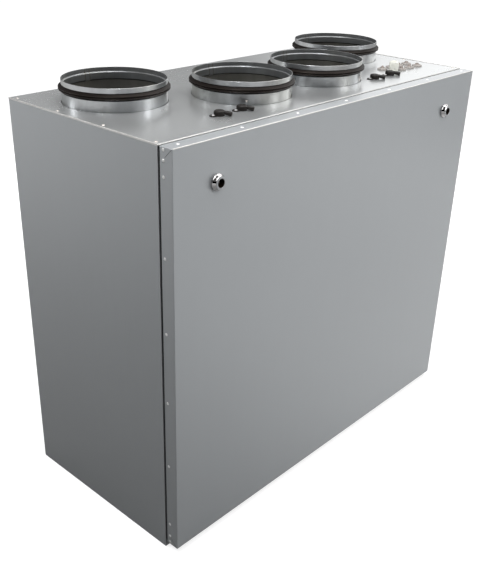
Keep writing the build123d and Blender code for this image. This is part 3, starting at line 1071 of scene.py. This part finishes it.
@dataclass
class DuctCollar:
    """A round duct collar with its two-lip seal."""

    number: int
    sheet: float = 0.0012
    groove_low: float = 0.0262
    groove_high: float = 0.0416
    groove_depth: float = 0.0030
    flange: float = 0.0060
    flange_fold: float = 0.0010
    lip: float = 0.0070
    deburr: float = 0.0002
    lip_curl: float = 0.0012
    lip_offset: float = 0.0022
    valley: float = 0.0022
    shade_drop: float = 0.0028
    lap_width: float = 0.0150
    lap_heading: float = 84.0
    lap_rise: float = 0.0005
    rivet_heading: Tuple[float, ...] = (0.0, 228.4, 288.5, 0.0)
    rivet_heights: Tuple[Tuple[float, ...], ...] = ((), (0.0100,), (0.0125, 0.0065), ())
    steps: int = 144
    body: str = "casing"

    def __post_init__(self) -> None:
        """Read the collar's axis, radius and height from the frame."""
        low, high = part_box(f"duct_collar_{self.number}")
        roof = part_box("top_panel")[1].z
        self.radius = (high.x - low.x) / 2 - self.flange
        self.inner = self.radius - self.sheet
        self.height = high.z - roof
        self.foot = low.z - roof
        self.place = at((low.x + high.x) / 2, (low.y + high.y) / 2, roof)

    def build(self) -> None:
        """Make the sheet tube and its rubber seal."""
        tube = self.tube().add(self.lap()).add(self.rivets())
        tube.moved(self.place).piece(f"collar_tube_{self.number}", self.body,
                                     [Finishes.COLLAR, Finishes.ROOF_RIVET, Finishes.COLLAR_INSIDE_SHADE,
                                      Finishes.COLLAR_DEEP_SHADE_AND_SEAM, Finishes.COLLAR_SHADOW_LINE],
                                     f"duct_collar_{self.number}")
        self.seal().moved(self.place).piece(f"collar_gasket_{self.number}", self.body,
                                            [Finishes.SEAL, Finishes.SEAL_LIP], f"collar_seal_{self.number}")

    def bead(self) -> List[Point]:
        """The profile of the groove as it stands proud inside, from the top down.

        Returns:
            The profile's points.
        """
        upper, lower, crest = self.groove_high, self.groove_low, self.inner - self.groove_depth
        upper_step = swage((self.inner, upper + 0.0018), (crest, upper + 0.0002))
        return upper_step + swage((crest, lower + 0.0002), (self.inner, lower - 0.0030))

    def tube(self) -> Shape:
        """The rolled tube: flange, groove for the seal, bead inside and a cut rim.

        Returns:
            The tube, upright about the origin, with the roof at height 0.
        """
        outer, inner, wide, top = self.radius, self.inner, self.radius + self.flange, self.height
        low, high, groove = self.groove_low, self.groove_high, outer - self.groove_depth
        seat, fold = self.foot + self.sheet, self.flange_fold
        profile = [(wide, self.foot), (wide, seat)]
        profile += arc((outer + fold, seat + fold), fold, 270.0, 180.0, 3)
        profile += swage((outer, low - 0.0012), (groove, low + 0.0004), 4)
        profile += swage((groove, high - 0.0004), (outer, high + 0.0012), 4)
        profile += [(outer, top - self.deburr), (outer - self.deburr, top),
                    (inner + self.deburr, top), (inner, top - self.deburr)]
        tube = Shape.turned(profile + self.bead() + [(inner, self.foot)], self.steps)
        # Inside the tube the faces take painted shade: the darker inside copy, a dark painted shadow line
        # along the bead's lower step, and deeper painted shade below it.
        within = inner + 0.0002
        tube.painted(2, lambda p: p.xy.length < within)
        tube.painted(4, lambda p: p.xy.length < within and p.z < low + 0.0001)
        return tube.painted(3, lambda p: p.xy.length < within and p.z < low - self.shade_drop)

    def lap(self) -> Shape:
        """The lapped joint of the sheet, a thin strip that stands proud on the inside.

        Returns:
            The strip in its place on the tube.
        """
        line = [(self.inner, self.height - 0.0006)] + self.bead() + [(self.inner, self.foot + 0.0010)]
        profile = [(r + self.lap_rise, z) for r, z in line] + [(r - self.lap_rise, z) for r, z in line[::-1]]
        width = self.lap_width / self.inner
        half, brim, shaded = width / 2, width / 7, self.groove_low - self.shade_drop
        # The lap strip takes the inside's painted shade, the deeper painted shade below the bead, and dark
        # seam lines along its two edges.
        strip = Shape.turned(profile, 6, math.degrees(width)).painted(2)
        strip.painted(3, lambda p: p.z < shaded or abs(abs(math.atan2(p.y, p.x)) - half) > half - brim)
        return strip.moved(turn(self.lap_heading - math.degrees(half)))

    def rivets(self) -> Shape:
        """Pop rivets that show on the second and third collars.

        Returns:
            The heads in their places on the tube.
        """
        heading = self.rivet_heading[self.number - 1]
        spots = [turn(heading) @ at(self.radius, 0.0, height, Facing.RIGHT)
                 for height in self.rivet_heights[self.number - 1]]
        return Shape().add(rivet(0.0030, 0.0010, 12).painted(1), spots)

    def seal(self) -> Shape:
        """The rubber ring, a wedge with two rounded lips close together at its edge.

        Returns:
            The ring, upright about the origin, with the roof at height 0.
        """
        root, neck, tip = self.radius - self.groove_depth, self.radius + 0.0006, self.radius + self.lip
        low, high = self.groove_low + 0.0002, self.groove_high - 0.0002
        middle, curl = (low + high) / 2, self.lip_curl
        profile = [(root, low), (neck, low)]
        profile += arc((tip - curl, middle - self.lip_offset), curl, -60.0, 75.0)
        profile += [(tip - self.valley, middle - 0.0005), (tip - self.valley, middle + 0.0005)]
        profile += arc((tip - curl, middle + self.lip_offset), curl, -75.0, 60.0)
        shape = Shape.turned(profile + [(neck, high), (root, high)], self.steps)
        return shape.painted(1, lambda p: p.xy.length > tip - 0.0006)


@dataclass
class PressureTap:
    """A black measuring tap: round domed body, screwed foot and a nozzle that droops a little."""

    number: int
    radius: float = 0.0130
    height: float = 0.0125
    shoulder: float = 0.0075
    foot_turn: float = 168.0
    foot_radius: float = 0.0090
    foot_reach: float = 0.0165
    foot_thickness: float = 0.0025
    foot_screw: Point = (0.0040, 0.0015)
    nozzle_turn: float = -58.0
    nozzle_droop: float = 9.0
    nozzle_height: float = 0.0095
    nozzle_start: float = 0.0040
    nozzle_end: float = 0.0290
    nozzle_bore: float = 0.0036
    nozzle_bore_depth: float = 0.0080
    body: str = "casing"

    def __post_init__(self) -> None:
        """Work the tap's axis out from the box of its node."""
        low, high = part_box(f"pressure_tap_{self.number}")
        reach = self.foot_radius - self.foot_reach * math.cos(math.radians(self.foot_turn))
        self.place = at(low.x + reach, high.y - self.radius, low.z)

    def build(self) -> None:
        """Make the whole tap as one piece."""
        tap = Shape.post(self.foot_radius, self.foot_thickness, 28, 0.0007)
        tap.stretched_left(self.foot_reach)
        head = screw(*self.foot_screw).painted(2)
        tap.add(head, [at(-self.foot_reach, 0.0, self.foot_thickness)])
        tap.moved(turn(self.foot_turn - 180.0)).add(self.cap()).add(self.nozzle()).moved(self.place)
        tap.piece(f"tap_{self.number}", self.body, [Finishes.TAP, Finishes.TAP_MOUTH, Finishes.SCREW],
                  f"pressure_tap_{self.number}")

    def cap(self) -> Shape:
        """The round body with its soft dome.

        Returns:
            The body, upright about the tap's axis.
        """
        rise = self.height - self.shoulder
        profile = [(0.0, 0.0), (self.radius - 0.0006, 0.0), (self.radius, 0.0030),
                   (self.radius, self.shoulder - 0.001)]
        profile += arc((self.radius - rise, self.shoulder), rise, 0.0, 75.0)
        return Shape.turned(profile + [(0.0, self.height)], 40)

    def nozzle(self) -> Shape:
        """The nozzle with its waist, flare and open mouth.

        Returns:
            The nozzle in its place on the tap.
        """
        end, bore = self.nozzle_end, self.nozzle_bore
        floor = end - self.nozzle_bore_depth
        profile = [(0.0, self.nozzle_start), (0.0020, self.nozzle_start), (0.0044, 0.0105)]
        profile += swage((0.0044, 0.0135), (0.0051, 0.0190), 4) + [(0.0053, end - 0.0030)]
        profile += arc((0.0046, end - 0.0007), 0.0007, 0.0, 120.0, 4)
        profile += [(bore + 0.0002, end - 0.0010), (bore, floor), (0.0, floor)]
        shape = Shape.turned(profile, 28)
        shape.painted(1, lambda p: p.z > floor - 0.0005 and p.xy.length < bore + 0.0007)
        return shape.moved(turn(self.nozzle_turn) @ at(0.0, 0.0, self.nozzle_height)
                           @ turn(self.nozzle_droop, "Y") @ Facing.RIGHT.value)


@dataclass
class CableEntries:
    """The off-white cable gland and the seven pale grommets beside it."""

    flats: float = 0.0260
    hex_height: float = 0.0080
    bore: float = 0.0050
    stem: float = 0.0100
    stem_length: float = 0.0330
    nut_flats: float = 0.0268
    nut_radius: float = 0.0146
    nut_top: float = 0.0280
    nut_heading: float = 12.0
    nut_mouth: float = 0.0064
    dome_rise: float = 0.0078
    dome_fold: float = 0.0056
    grommet_radius: float = 0.0145
    grommet_fold: float = 0.0018
    grommet_crown: float = 0.0050
    grommet_top: float = 0.0098
    grommet_tip_start: float = 0.0052
    grommet_pip: Point = (0.0022, 0.0018)
    grommet_pitch_x: float = 0.0420
    grommet_pitch_y: float = 0.0370
    columns: int = 4
    body: str = "casing"

    def __post_init__(self) -> None:
        """Read the gland's axis and the grommets' corner from the frame."""
        self.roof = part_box("top_panel")[1].z
        low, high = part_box("gland_nut")
        self.gland = at((low.x + high.x) / 2, (low.y + high.y) / 2, self.roof)
        low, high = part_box("cable_grommets")
        self.last = (high.x - self.grommet_radius, low.y + self.grommet_radius)

    def build(self) -> None:
        """Make the gland's foot and nut, and the grommets."""
        self.foot().moved(self.gland).piece("gland_foot", self.body, [Finishes.GLAND], "gland_body")
        self.nut().moved(self.gland).piece("gland_cap", self.body, [Finishes.GLAND, Finishes.GLAND_SEAL],
                                           "gland_nut")
        self.grommets()

    def foot(self) -> Shape:
        """The gland's hexagon with its stem below.

        Returns:
            The foot, upright about the gland's axis.
        """
        corner, top = self.flats / 2 / math.cos(math.radians(30.0)) - 0.0004, self.hex_height
        profile = [(self.bore, -self.stem_length), (self.stem, -self.stem_length), (self.stem, 0.0),
                   (corner - 0.0010, 0.0), (corner, 0.0008), (corner, top - 0.0010),
                   (corner - 0.0012, top), (self.bore, top)]
        return Shape.turned(profile, 72).faceted(self.flats)

    def nut(self) -> Shape:
        """The nut, a soft hexagon with a round dome above it and a clamping ring in its mouth.

        Returns:
            The nut, upright about the gland's axis.
        """
        low, top, edge, fold = self.hex_height + 0.0002, self.nut_top, self.nut_radius, self.dome_fold
        start, neck, mouth = top - self.dome_rise, self.nut_flats / 2, self.nut_mouth
        profile = [(self.bore, low), (edge - 0.0008, low), (edge, low + 0.0008), (edge, start - 0.0016),
                   (neck, start)] + arc((neck - fold, top - fold), fold, 0.0, 86.0, 8)
        profile += [(mouth + 0.0010, top), (mouth + 0.0004, top - 0.0005), (mouth, top - 0.0012),
                    (self.bore + 0.0005, top - 0.0012), (self.bore, top - 0.0018)]
        shape = Shape.turned(profile, 72).faceted(self.nut_flats, self.nut_heading)
        return shape.painted(1, lambda p: p.xy.length < mouth + 0.0002 and p.z > low + 0.001)

    def grommets(self) -> None:
        """Low domed membranes in two rows; the gland has one place of the front row."""
        edge, crown, top, fold = self.grommet_radius, self.grommet_crown, self.grommet_top, self.grommet_fold
        profile = [(0.0, top), (crown - 0.0014, top - 0.0002), (crown - 0.0004, top - 0.0010),
                   (crown, top - 0.0022)]
        profile += swage((crown + 0.0004, top - 0.0030), (0.0076, 0.0046), 4)
        profile += [(0.0084, 0.0040), (0.0094, 0.0045), (0.0124, 0.0046)]
        profile += arc((edge - fold, 0.0027), fold, 75.0, 0.0, 4) + [(edge, -0.0002), (0.0, -0.0002)]
        dome = Shape.turned(profile, 36).painted(1, lambda p: p.z > self.grommet_tip_start)
        spots = [(self.last[0] - i * self.grommet_pitch_x, self.last[1] + row * self.grommet_pitch_y)
                 for row, count in ((0, self.columns - 1), (1, self.columns)) for i in range(count)]
        group = Shape().add(dome, [at(*spot, self.roof) for spot in spots])
        group.add(screw(*self.grommet_pip, 12).painted(2), [at(*spots[-1], self.roof + top)])
        group.piece("membrane_grommets", self.body,
                    [Finishes.GROMMET, Finishes.GROMMET_TIP, Finishes.GROMMET_PIP], "cable_grommets")


@dataclass
class Exchanger:
    """The counterflow block: end sheets, corner profiles and a stack of thin plates."""

    plate_pitch: float = 0.0052
    plate_thickness: float = 0.0016
    end_sheet: float = 0.0020
    plate_inset: float = 0.0030
    point_inset: float = 1.414
    profile_half: float = 0.0060
    profile_fold: float = 0.0010
    profile_gap: float = 0.0004
    body: str = "casing"

    def __post_init__(self) -> None:
        """Read the block's box from the frame."""
        self.low, self.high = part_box("heat_exchanger")
        self.centre = (self.low + self.high) / 2

    def sheet(self, inset: float, thickness: float) -> Shape:
        """One six-sided sheet that stands upright at Y 0 and grows towards the back.

        Args:
            inset: How far it is drawn in from the block's outline.
            thickness: Its thickness.

        Returns:
            The sheet.
        """
        return Shape.plate(self.outline(inset), Vector((0.0, thickness, 0.0)))

    def outline(self, inset: float) -> List[Vector]:
        """The block's six corners at Y 0.

        Args:
            inset: How far its flat top and bottom are drawn in; the pointed ends go further.

        Returns:
            The corners, in order.
        """
        tall = self.high.z - self.centre.z - inset
        wide = self.high.x - self.centre.x - inset * self.point_inset
        flat = wide - tall
        ways = ((-wide, 0.0), (-flat, -tall), (flat, -tall), (wide, 0.0), (flat, tall), (-flat, tall))
        return [Vector((self.centre.x + x, 0.0, self.centre.z + z)) for x, z in ways]

    def build(self) -> None:
        """Make the block as one piece."""
        low, high, end = self.low, self.high, self.end_sheet
        block = Shape()
        block.add(self.sheet(0.0, end), [at(0.0, y, 0.0) for y in (low.y, high.y - end)])
        count = int((high.y - low.y - 2 * end) / self.plate_pitch)
        block.add(self.sheet(self.plate_inset, self.plate_thickness),
                  [at(0.0, low.y + end + (i + 0.5) * self.plate_pitch, 0.0) for i in range(count)])
        half, gap = self.profile_half, self.profile_gap
        bar = Shape.block((-half, low.y + gap, -half), (half, high.y - gap, half), self.profile_fold)
        for corner in self.outline(0.0):
            toward = Vector((self.centre.x - corner.x, 0.0, self.centre.z - corner.z)).normalized()
            block.add(bar.painted(1), [at(*(corner + toward * half)) @ turn(45.0, "Y")])
        block.piece("exchanger_block", self.body, [Finishes.FOIL, Finishes.FRAME_ALU], "heat_exchanger")


@dataclass
class Filter:
    """A filter cassette: a plastic frame round pleated fleece."""

    side: Side
    frame_width: float = 0.0120
    frame_fold: float = 0.0015
    pleat_pitch: float = 0.0130
    pleat_height: float = 0.0400
    fleece: float = 0.0016
    tab_width: float = 0.0700
    tab_height: float = 0.0160
    tab_drop: float = 0.0080
    tab_rise: float = 0.0020
    tab_sink: float = 0.0010
    body: str = "casing"

    def __post_init__(self) -> None:
        """Read the cassette's box from the frame."""
        self.low, self.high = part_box(f"{self.side.word}_filter")

    def build(self) -> None:
        """Make the frame and the pleats."""
        low, high, wide = self.low, self.high, self.frame_width
        cassette = Shape()
        for y_low, y_high in ((low.y, low.y + wide), (high.y - wide, high.y)):
            cassette.add(Shape.block((low.x, y_low, low.z), (high.x, y_high, high.z), self.frame_fold))
        for x_low, x_high in ((low.x, low.x + wide), (high.x - wide, high.x)):
            cassette.add(Shape.block((x_low, low.y + wide, low.z), (x_high, high.y - wide, high.z),
                                     self.frame_fold))
        cassette.add(self.pleats()).add(self.tab())
        cassette.piece(f"{self.side.word}_filter_cassette", self.body,
                       [Finishes.FILTER_FRAME, Finishes.FLEECE], f"{self.side.word}_filter")

    def pleats(self) -> Shape:
        """The folded fleece, a zigzag sheet pulled along the depth.

        Returns:
            The fleece in its place.
        """
        low, high, wide = self.low, self.high, self.frame_width
        span, middle, half = high.x - low.x - 2 * wide, (low.z + high.z) / 2, self.pleat_height / 2
        count = int(span / self.pleat_pitch)
        folds = [Vector((low.x + wide + i * span / count / 2, low.y + wide,
                         middle + (half if i % 2 else -half))) for i in range(2 * count + 1)]
        lift = Vector((0.0, 0.0, self.fleece))
        outline = [fold + lift for fold in folds] + [fold - lift for fold in folds[::-1]]
        return Shape.plate(outline, Vector((0.0, high.y - low.y - 2 * wide, 0.0))).painted(1)

    def tab(self) -> Shape:
        """The pull tab on the front of the frame.

        Returns:
            The tab in its place.
        """
        centre, half, top = (self.low.x + self.high.x) / 2, self.tab_width / 2, self.high.z - self.tab_drop
        return Shape.block((centre - half, self.low.y - self.tab_rise, top - self.tab_height),
                           (centre + half, self.low.y + self.tab_sink, top), 0.0010)


@dataclass
class Fan:
    """A radial fan: inlet ring on its plate, wheel with leaning blades, motor and bridge."""

    side: Side
    inlet: float = 0.0700
    ring_rise: float = 0.0060
    ring_width: float = 0.0110
    ring_sheet: float = 0.0012
    disc: float = 0.0030
    shroud_rise: float = 0.0040
    hub: float = 0.0320
    hub_rise: float = 0.0300
    blades: int = 7
    blade_bend: float = 26.0
    blade_thickness: float = 0.0024
    blade_parts: int = 8
    blade_lead: float = 0.0040
    blade_stop: float = 0.0020
    housing: float = 0.0440
    waist: float = 0.0400
    fin: Point = (0.0390, 0.0455)
    fin_half: float = 0.0009
    fin_count: int = 24
    bridge_half: float = 0.0200
    bridge_sheet: float = 0.0040
    bridge_fold: float = 0.0008
    screw_inset: float = 0.0300
    screw_half_pitch: float = 0.0100
    bridge_screw: Point = (0.0035, 0.0022)
    body: str = "casing"

    def __post_init__(self) -> None:
        """Read the places of plate, wheel and motor from the frame."""
        self.name = f"{self.side.word}_fan"
        self.plate_low, self.plate_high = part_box(f"{self.name}_plate")
        self.wheel_low, self.wheel_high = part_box(f"{self.name}_wheel")
        self.motor_low, self.motor_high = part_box(f"{self.name}_motor")
        self.radius = (self.wheel_high.x - self.wheel_low.x) / 2
        middle = (self.wheel_low + self.wheel_high) / 2
        self.place = at(middle.x, middle.y, 0.0)

    def build(self) -> None:
        """Dress the plate and make the ring, the wheel and the motor."""
        dress(Finishes.LINER, f"{self.name}_plate")
        self.ring().moved(self.place).piece(f"{self.side.word}_inlet_ring", self.body, [Finishes.LINER])
        self.wheel().moved(self.place).piece(f"{self.name}_rotor", self.body, [Finishes.FAN],
                                             f"{self.name}_wheel")
        self.motor().moved(self.place).piece(f"{self.side.word}_motor", self.body,
                                             [Finishes.MOTOR, Finishes.LINER], f"{self.name}_motor")

    def ring(self) -> Shape:
        """The rounded inlet ring on the plate.

        Returns:
            The ring, upright about the fan's axis.
        """
        inlet, low, high, rise = self.inlet, self.plate_low.z, self.plate_high.z, self.ring_rise
        profile = [(inlet - self.ring_sheet, low), (inlet, low), (inlet + 0.0005, high),
                   (inlet + self.ring_width, high)]
        profile += arc((inlet + rise, high), rise, 0.0, 150.0, 8) + [(inlet - self.ring_sheet, high)]
        return Shape.turned(profile, 72)

    def wheel(self) -> Shape:
        """Shroud, back disc with its hub, and bent blades between them.

        Returns:
            The wheel, upright about the fan's axis.
        """
        low, top, inlet, radius = self.wheel_low.z, self.wheel_high.z, self.inlet, self.radius
        back, rim = top - self.disc, low + self.shroud_rise
        shroud = [(inlet + 0.0010, low), (radius, rim), (radius, rim + self.disc),
                  (inlet + 0.0030, low + self.disc + 0.0012), (inlet - 0.0002, low + self.disc)]
        disc = [(0.0, back), (self.hub, back), (radius, back), (radius, top), (self.hub + 0.004, top),
                (0.0, top)]
        hub = [(0.0, low + self.hub_rise), (self.hub * 0.45, low + self.hub_rise)]
        hub += swage((self.hub * 0.6, low + self.hub_rise + 0.004), (self.hub, back)) + [(0.0, back)]
        wheel = Shape.turned(shroud, 72).add(Shape.turned(disc, 72)).add(Shape.turned(hub, 48))
        return wheel.add(self.blade(rim, back + 0.0004),
                         [turn(360.0 / self.blades * i) for i in range(self.blades)])

    def blade(self, low: float, high: float) -> Shape:
        """One blade, bent backwards along its length.

        Args:
            low: The height of its lower edge.
            high: The height of its upper edge.

        Returns:
            The blade, upright beside the fan's axis.
        """
        sides = [[], []]
        start, stop = self.inlet - self.blade_lead, self.radius - self.blade_stop
        for i in range(self.blade_parts + 1):
            share = i / self.blade_parts
            reach = start + (stop - start) * share
            angle = math.radians(-self.blade_bend * share * (2.0 - share))
            for side, way in zip(sides, (0.5, -0.5)):
                heading = angle + way * self.blade_thickness / reach
                side.append(Vector((reach * math.cos(heading), reach * math.sin(heading), low)))
        return Shape.plate(sides[0] + sides[1][::-1], Vector((0.0, 0.0, high - low)))

    def motor(self) -> Shape:
        """A finned round housing hung from a folded bridge.

        Returns:
            The motor and its bridge, upright about the fan's axis.
        """
        low, high, sheet, fold = self.wheel_high.z, self.motor_high.z, self.bridge_sheet, self.bridge_fold
        top, foot, wide, housing = high - sheet, self.motor_low.z, self.bridge_half, self.housing
        profile = [(0.0, low), (housing, low)] + arc((housing - 0.001, low + 0.003), 0.003, -60.0, 0.0, 3)
        profile += [(self.waist, low + 0.006), (self.waist, top - 0.004), (housing, top - 0.003),
                    (housing, top), (0.0, top)]
        near, far = self.fin
        fin = Shape.block((near, -self.fin_half, low + 0.005), (far, self.fin_half, top - 0.003), 0.0004)
        shell = Shape.turned(profile, 64)
        shell.add(fin, [turn(i * 360.0 / self.fin_count) for i in range(self.fin_count)])
        reach = (self.motor_high.y - self.motor_low.y) / 2
        bridge = Shape.block((-wide, -reach, top), (wide, reach, high), fold)
        for way in (-1, 1):
            y_low, y_high = sorted((way * reach, way * (reach - sheet)))
            bridge.add(Shape.block((-wide, y_low, foot), (wide, y_high, high - fold), fold))
            spots = [at(x, way * (reach - self.screw_inset), high)
                     for x in (-self.screw_half_pitch, self.screw_half_pitch)]
            bridge.add(screw(*self.bridge_screw), spots)
        return shell.add(bridge.painted(1))


@dataclass
class Interior:
    """Partitions, rails, drip tray and the control box."""

    lid_thickness: float = 0.0180
    lid_gap: float = 0.0012
    lid_fold: float = 0.0030
    neck_overlap: float = 0.0020
    screw_inset: float = 0.0110
    lid_screw: Point = (0.0050, 0.0016)
    body: str = "casing"

    def build(self) -> None:
        """Dress the plain sheets and make the control box."""
        dress(Finishes.LINER, "upper_partition", "lower_partition", "left_shaft_partition",
              "right_shaft_partition", "filter_rails")
        dress(Finishes.TRAY, "drip_tray")
        self.control_box()

    def control_box(self) -> None:
        """A closed box with a screwed lid towards the door."""
        low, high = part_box("control_box")
        fold, over, inset = self.lid_fold, self.neck_overlap, self.screw_inset
        front = low.y + self.lid_thickness
        back = front + self.lid_gap
        box = Shape.block((low.x, back, low.z), high, fold)
        box.add(Shape.block(low, (high.x, front, high.z), fold, 3))
        box.add(Shape.block((low.x + fold, front - over, low.z + fold),
                            (high.x - fold, back + over, high.z - fold)))
        spots = [at(x, low.y, z, Facing.FRONT) for x in (low.x + inset, high.x - inset)
                 for z in (low.z + inset, high.z - inset)]
        box.add(screw(*self.lid_screw).painted(1), spots)
        box.piece("control_housing", self.body, [Finishes.BOX, Finishes.SCREW], "control_box")


# The room

@dataclass(frozen=True)
class Glow:
    """A patch of the room that shiny surfaces mirror brighter or darker than the rest."""

    heading: float
    tilt: float
    start: float
    full: float
    strength: float

    def along(self, graph: Graph, way: Signal) -> Signal:
        """What the patch adds to the room's brightness.

        Args:
            graph: The world's node tree.
            way: The direction that is looked along.

        Returns:
            Its strength where that direction points to it, and 0 away from it.
        """
        heading, tilt = math.radians(self.heading), math.radians(self.tilt)
        goal = (math.cos(heading) * math.cos(tilt), math.sin(heading) * math.cos(tilt), math.sin(tilt))
        match = graph.node("ShaderNodeVectorMath", {"operation": "DOT_PRODUCT"}, {0: way, 1: goal}, "Value")
        return match.over(self.start, self.full) * self.strength


@dataclass(frozen=True)
class Lamp:
    """A soft rectangular lamp that the camera doesn't see."""

    name: str
    place: Spot
    target: Spot
    size: Point
    power: float
    mirrored: bool = True

    def hang(self) -> None:
        """Put the lamp in its place, facing its target."""
        data = bpy.data.lights.new(self.name, "AREA")
        data.shape = "RECTANGLE"
        data.size, data.size_y = self.size
        data.energy = self.power
        lamp = bpy.data.objects.new(self.name, data)
        aim = (Vector(self.target) - Vector(self.place)).to_track_quat("-Z", "Y").to_matrix().to_4x4()
        lamp.matrix_world = at(*self.place) @ aim
        lamp.visible_camera = False
        lamp.visible_glossy = self.mirrored
        bpy.context.scene.collection.objects.link(lamp)


@dataclass
class Studio:
    """A pale floor, soft lamps, a plain bright room and the camera."""

    camera_place: Spot = (-1.617, -1.408, 1.5014)
    camera_azimuth: float = -47.702
    camera_tilt: float = 26.4417
    camera_roll: float = 1.6196
    lens: float = 49.758
    sensor: float = 36.0
    sight: float = 200.0
    floor_size: float = 60.0
    near_glow: float = 0.74
    far_glow: float = 1.0
    near_mirror: float = 0.0
    far_mirror: float = 1.15
    east_mirror: float = 0.9
    mirror_dim: float = 0.45
    fade: Point = (0.9, 4.0)
    east_fade: Point = (-0.7, 0.5)
    east_cut: float = 1.6
    paper_tones: Point = (0.07, 0.42)
    room_light: float = 0.15
    room_mirror: float = 0.14
    ceiling: Point = (0.155, 0.31)
    ceiling_mirror: float = 0.24
    glows: Tuple[Glow, ...] = (
        Glow(26.0, 16.0, 0.955, 0.98, 0.55),
        Glow(26.0, 16.0, 0.975, 0.99, 0.60),
        Glow(-4.0, 27.0, 0.86, 0.97, 1.25),
        Glow(-35.0, 4.0, 0.60, 0.95, 0.36),
        Glow(-138.0, 26.0, 0.35, 0.85, -0.25),
    )
    lamps: Tuple[Lamp, ...] = (
        Lamp("overhead_left_1", (-1.53, -0.35, 2.75), (-0.25, -0.05, 0.9), (0.20, 1.9), 9.0),
        Lamp("overhead_left_2", (-1.05, -0.35, 2.75), (-0.25, -0.05, 0.9), (0.20, 1.9), 9.0),
        Lamp("overhead_left_3", (-0.57, -0.35, 2.75), (-0.25, -0.05, 0.9), (0.20, 1.9), 9.0),
        Lamp("overhead_right", (0.55, -0.35, 2.75), (0.15, -0.05, 0.9), (1.1, 1.9), 31.0),
        Lamp("front_key", (2.6, -2.6, 0.8), (0.2, -0.2, 0.60), (1.8, 1.4), 76.0, mirrored=False),
        Lamp("front_near", (-0.45, -1.8, 2.2), (-0.25, -0.3, 0.9), (0.9, 0.7), 18.0, mirrored=False),
        Lamp("side_near", (-1.4, 0.75, 1.95), (-0.6, 0.2, 1.0), (0.6, 0.5), 15.0, mirrored=False),
        Lamp("rear_fill", (1.2, 2.8, 1.4), (0.3, 0.3, 0.6), (2.0, 1.5), 45.0, mirrored=False),
        Lamp("side_strip", (-2.2, 2.3, 2.25), (-0.5, 0.0, 1.0), (0.4, 2.0), 11.0),
        Lamp("front_strip", (1.45, -2.60, 2.35), (0.0, 0.0, 1.0), (0.22, 1.5), 8.0),
    )

    def build(self) -> None:
        """Set up the camera, the floor, the room and the lamps."""
        bpy.context.scene.view_settings.view_transform = "Standard"
        self.camera()
        self.floor()
        self.room()
        for lamp in self.lamps:
            lamp.hang()

    def camera(self) -> None:
        """Place the camera at the photograph's viewpoint."""
        angles = (self.camera_azimuth, self.camera_tilt, self.camera_roll)
        azimuth, tilt, roll = (math.radians(angle) for angle in angles)
        back = Vector((math.sin(azimuth) * math.cos(tilt), -math.cos(azimuth) * math.cos(tilt),
                       math.sin(tilt)))
        right = (-back).cross(Vector((0.0, 0.0, 1.0))).normalized()
        up = right.cross(-back)
        across = right * math.cos(roll) + up * math.sin(roll)
        upward = up * math.cos(roll) - right * math.sin(roll)
        lens = bpy.data.cameras.new("camera")
        lens.lens = self.lens
        lens.sensor_width = self.sensor
        lens.clip_end = self.sight
        camera = bpy.data.objects.new("camera", lens)
        camera.matrix_world = at(*self.camera_place) @ Matrix((across, upward, back)).transposed().to_4x4()
        bpy.context.scene.collection.objects.link(camera)
        bpy.context.scene.camera = camera

    def floor(self) -> None:
        """A pale floor that glows white to the eye and keeps the unit's shadow."""
        sheet = Shape()
        bmesh.ops.create_grid(sheet.mesh, x_segments=1, y_segments=1, size=self.floor_size / 2)
        data = bpy.data.meshes.new("floor")
        sheet.mesh.to_mesh(data)
        sheet.mesh.free()
        data.materials.append(self.paper())
        floor = bpy.data.objects.new("floor", data)
        bpy.context.scene.collection.objects.link(floor)

    def paper(self) -> bpy.types.Material:
        """The floor's material; its glow, straight and mirrored, grows with the distance.

        Returns:
            The material.
        """
        material = bpy.data.materials.new("floor_paper")
        material.use_nodes = True
        graph = Graph(material.node_tree)
        reach = graph.node("ShaderNodeVectorMath", {"operation": "LENGTH"}, {0: graph.place()}, "Value")
        far = reach.over(*self.fade)
        mirrored = graph.ray("Glossy")
        direct = self.near_glow + far * (self.far_glow - self.near_glow)
        east = graph.part(graph.place()).over(*self.east_fade) * (1.0 - far * self.east_cut)
        mirror = self.near_mirror + far * (self.far_mirror - self.near_mirror) + east * self.east_mirror
        dull, bright = (graph.node("ShaderNodeBsdfDiffuse", None, {"Color": (tone, tone, tone, 1.0)})
                        for tone in self.paper_tones)
        glow = graph.node("ShaderNodeEmission", None, {"Color": (1.0, 1.0, 1.0, 1.0),
                                                       "Strength": direct + mirrored * (mirror - direct)})
        lit = graph.node("ShaderNodeAddShader", None, {0: bright, 1: glow})
        share = graph.seen() - mirrored * self.mirror_dim
        both = graph.node("ShaderNodeMixShader", None, {0: share, 1: dull, 2: lit})
        graph.node("ShaderNodeOutputMaterial", None, {"Surface": both})
        return material

    def room(self) -> None:
        """The room: white to the eye, dim as a light, and patched where surfaces mirror it."""
        world = bpy.data.worlds.new("room")
        bpy.context.scene.world = world
        world.use_nodes = True
        graph = Graph(world.node_tree)
        way = graph.node("ShaderNodeTexCoord", output="Generated")
        level = self.room_mirror + graph.part(way, "Z").over(*self.ceiling) * self.ceiling_mirror
        for glow in self.glows:
            level = level + glow.along(graph, way)
        shown = 1.0 + graph.ray("Glossy") * (level - 1.0)
        strength = graph.seen() * (shown - self.room_light) + self.room_light
        sky = graph.node("ShaderNodeBackground", None, {"Color": (1.0, 1.0, 1.0, 1.0), "Strength": strength})
        graph.node("ShaderNodeOutputWorld", None, {"Surface": sky})


def main() -> None:
    """Build the room, then the unit's sub-assemblies in order."""
    logging.basicConfig(level=logging.INFO, format="%(message)s")
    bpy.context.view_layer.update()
    Studio().build()
    Casing().build()
    Door().build()
    for side in Side:
        DoorLock(side).build()
    for number in range(1, DUCT_COUNT + 1):
        DuctCollar(number).build()
        PressureTap(number).build()
    CableEntries().build()
    Interior().build()
    Exchanger().build()
    for side in Side:
        Filter(side).build()
        Fan(side).build()


if __name__ == "__main__":
    main()
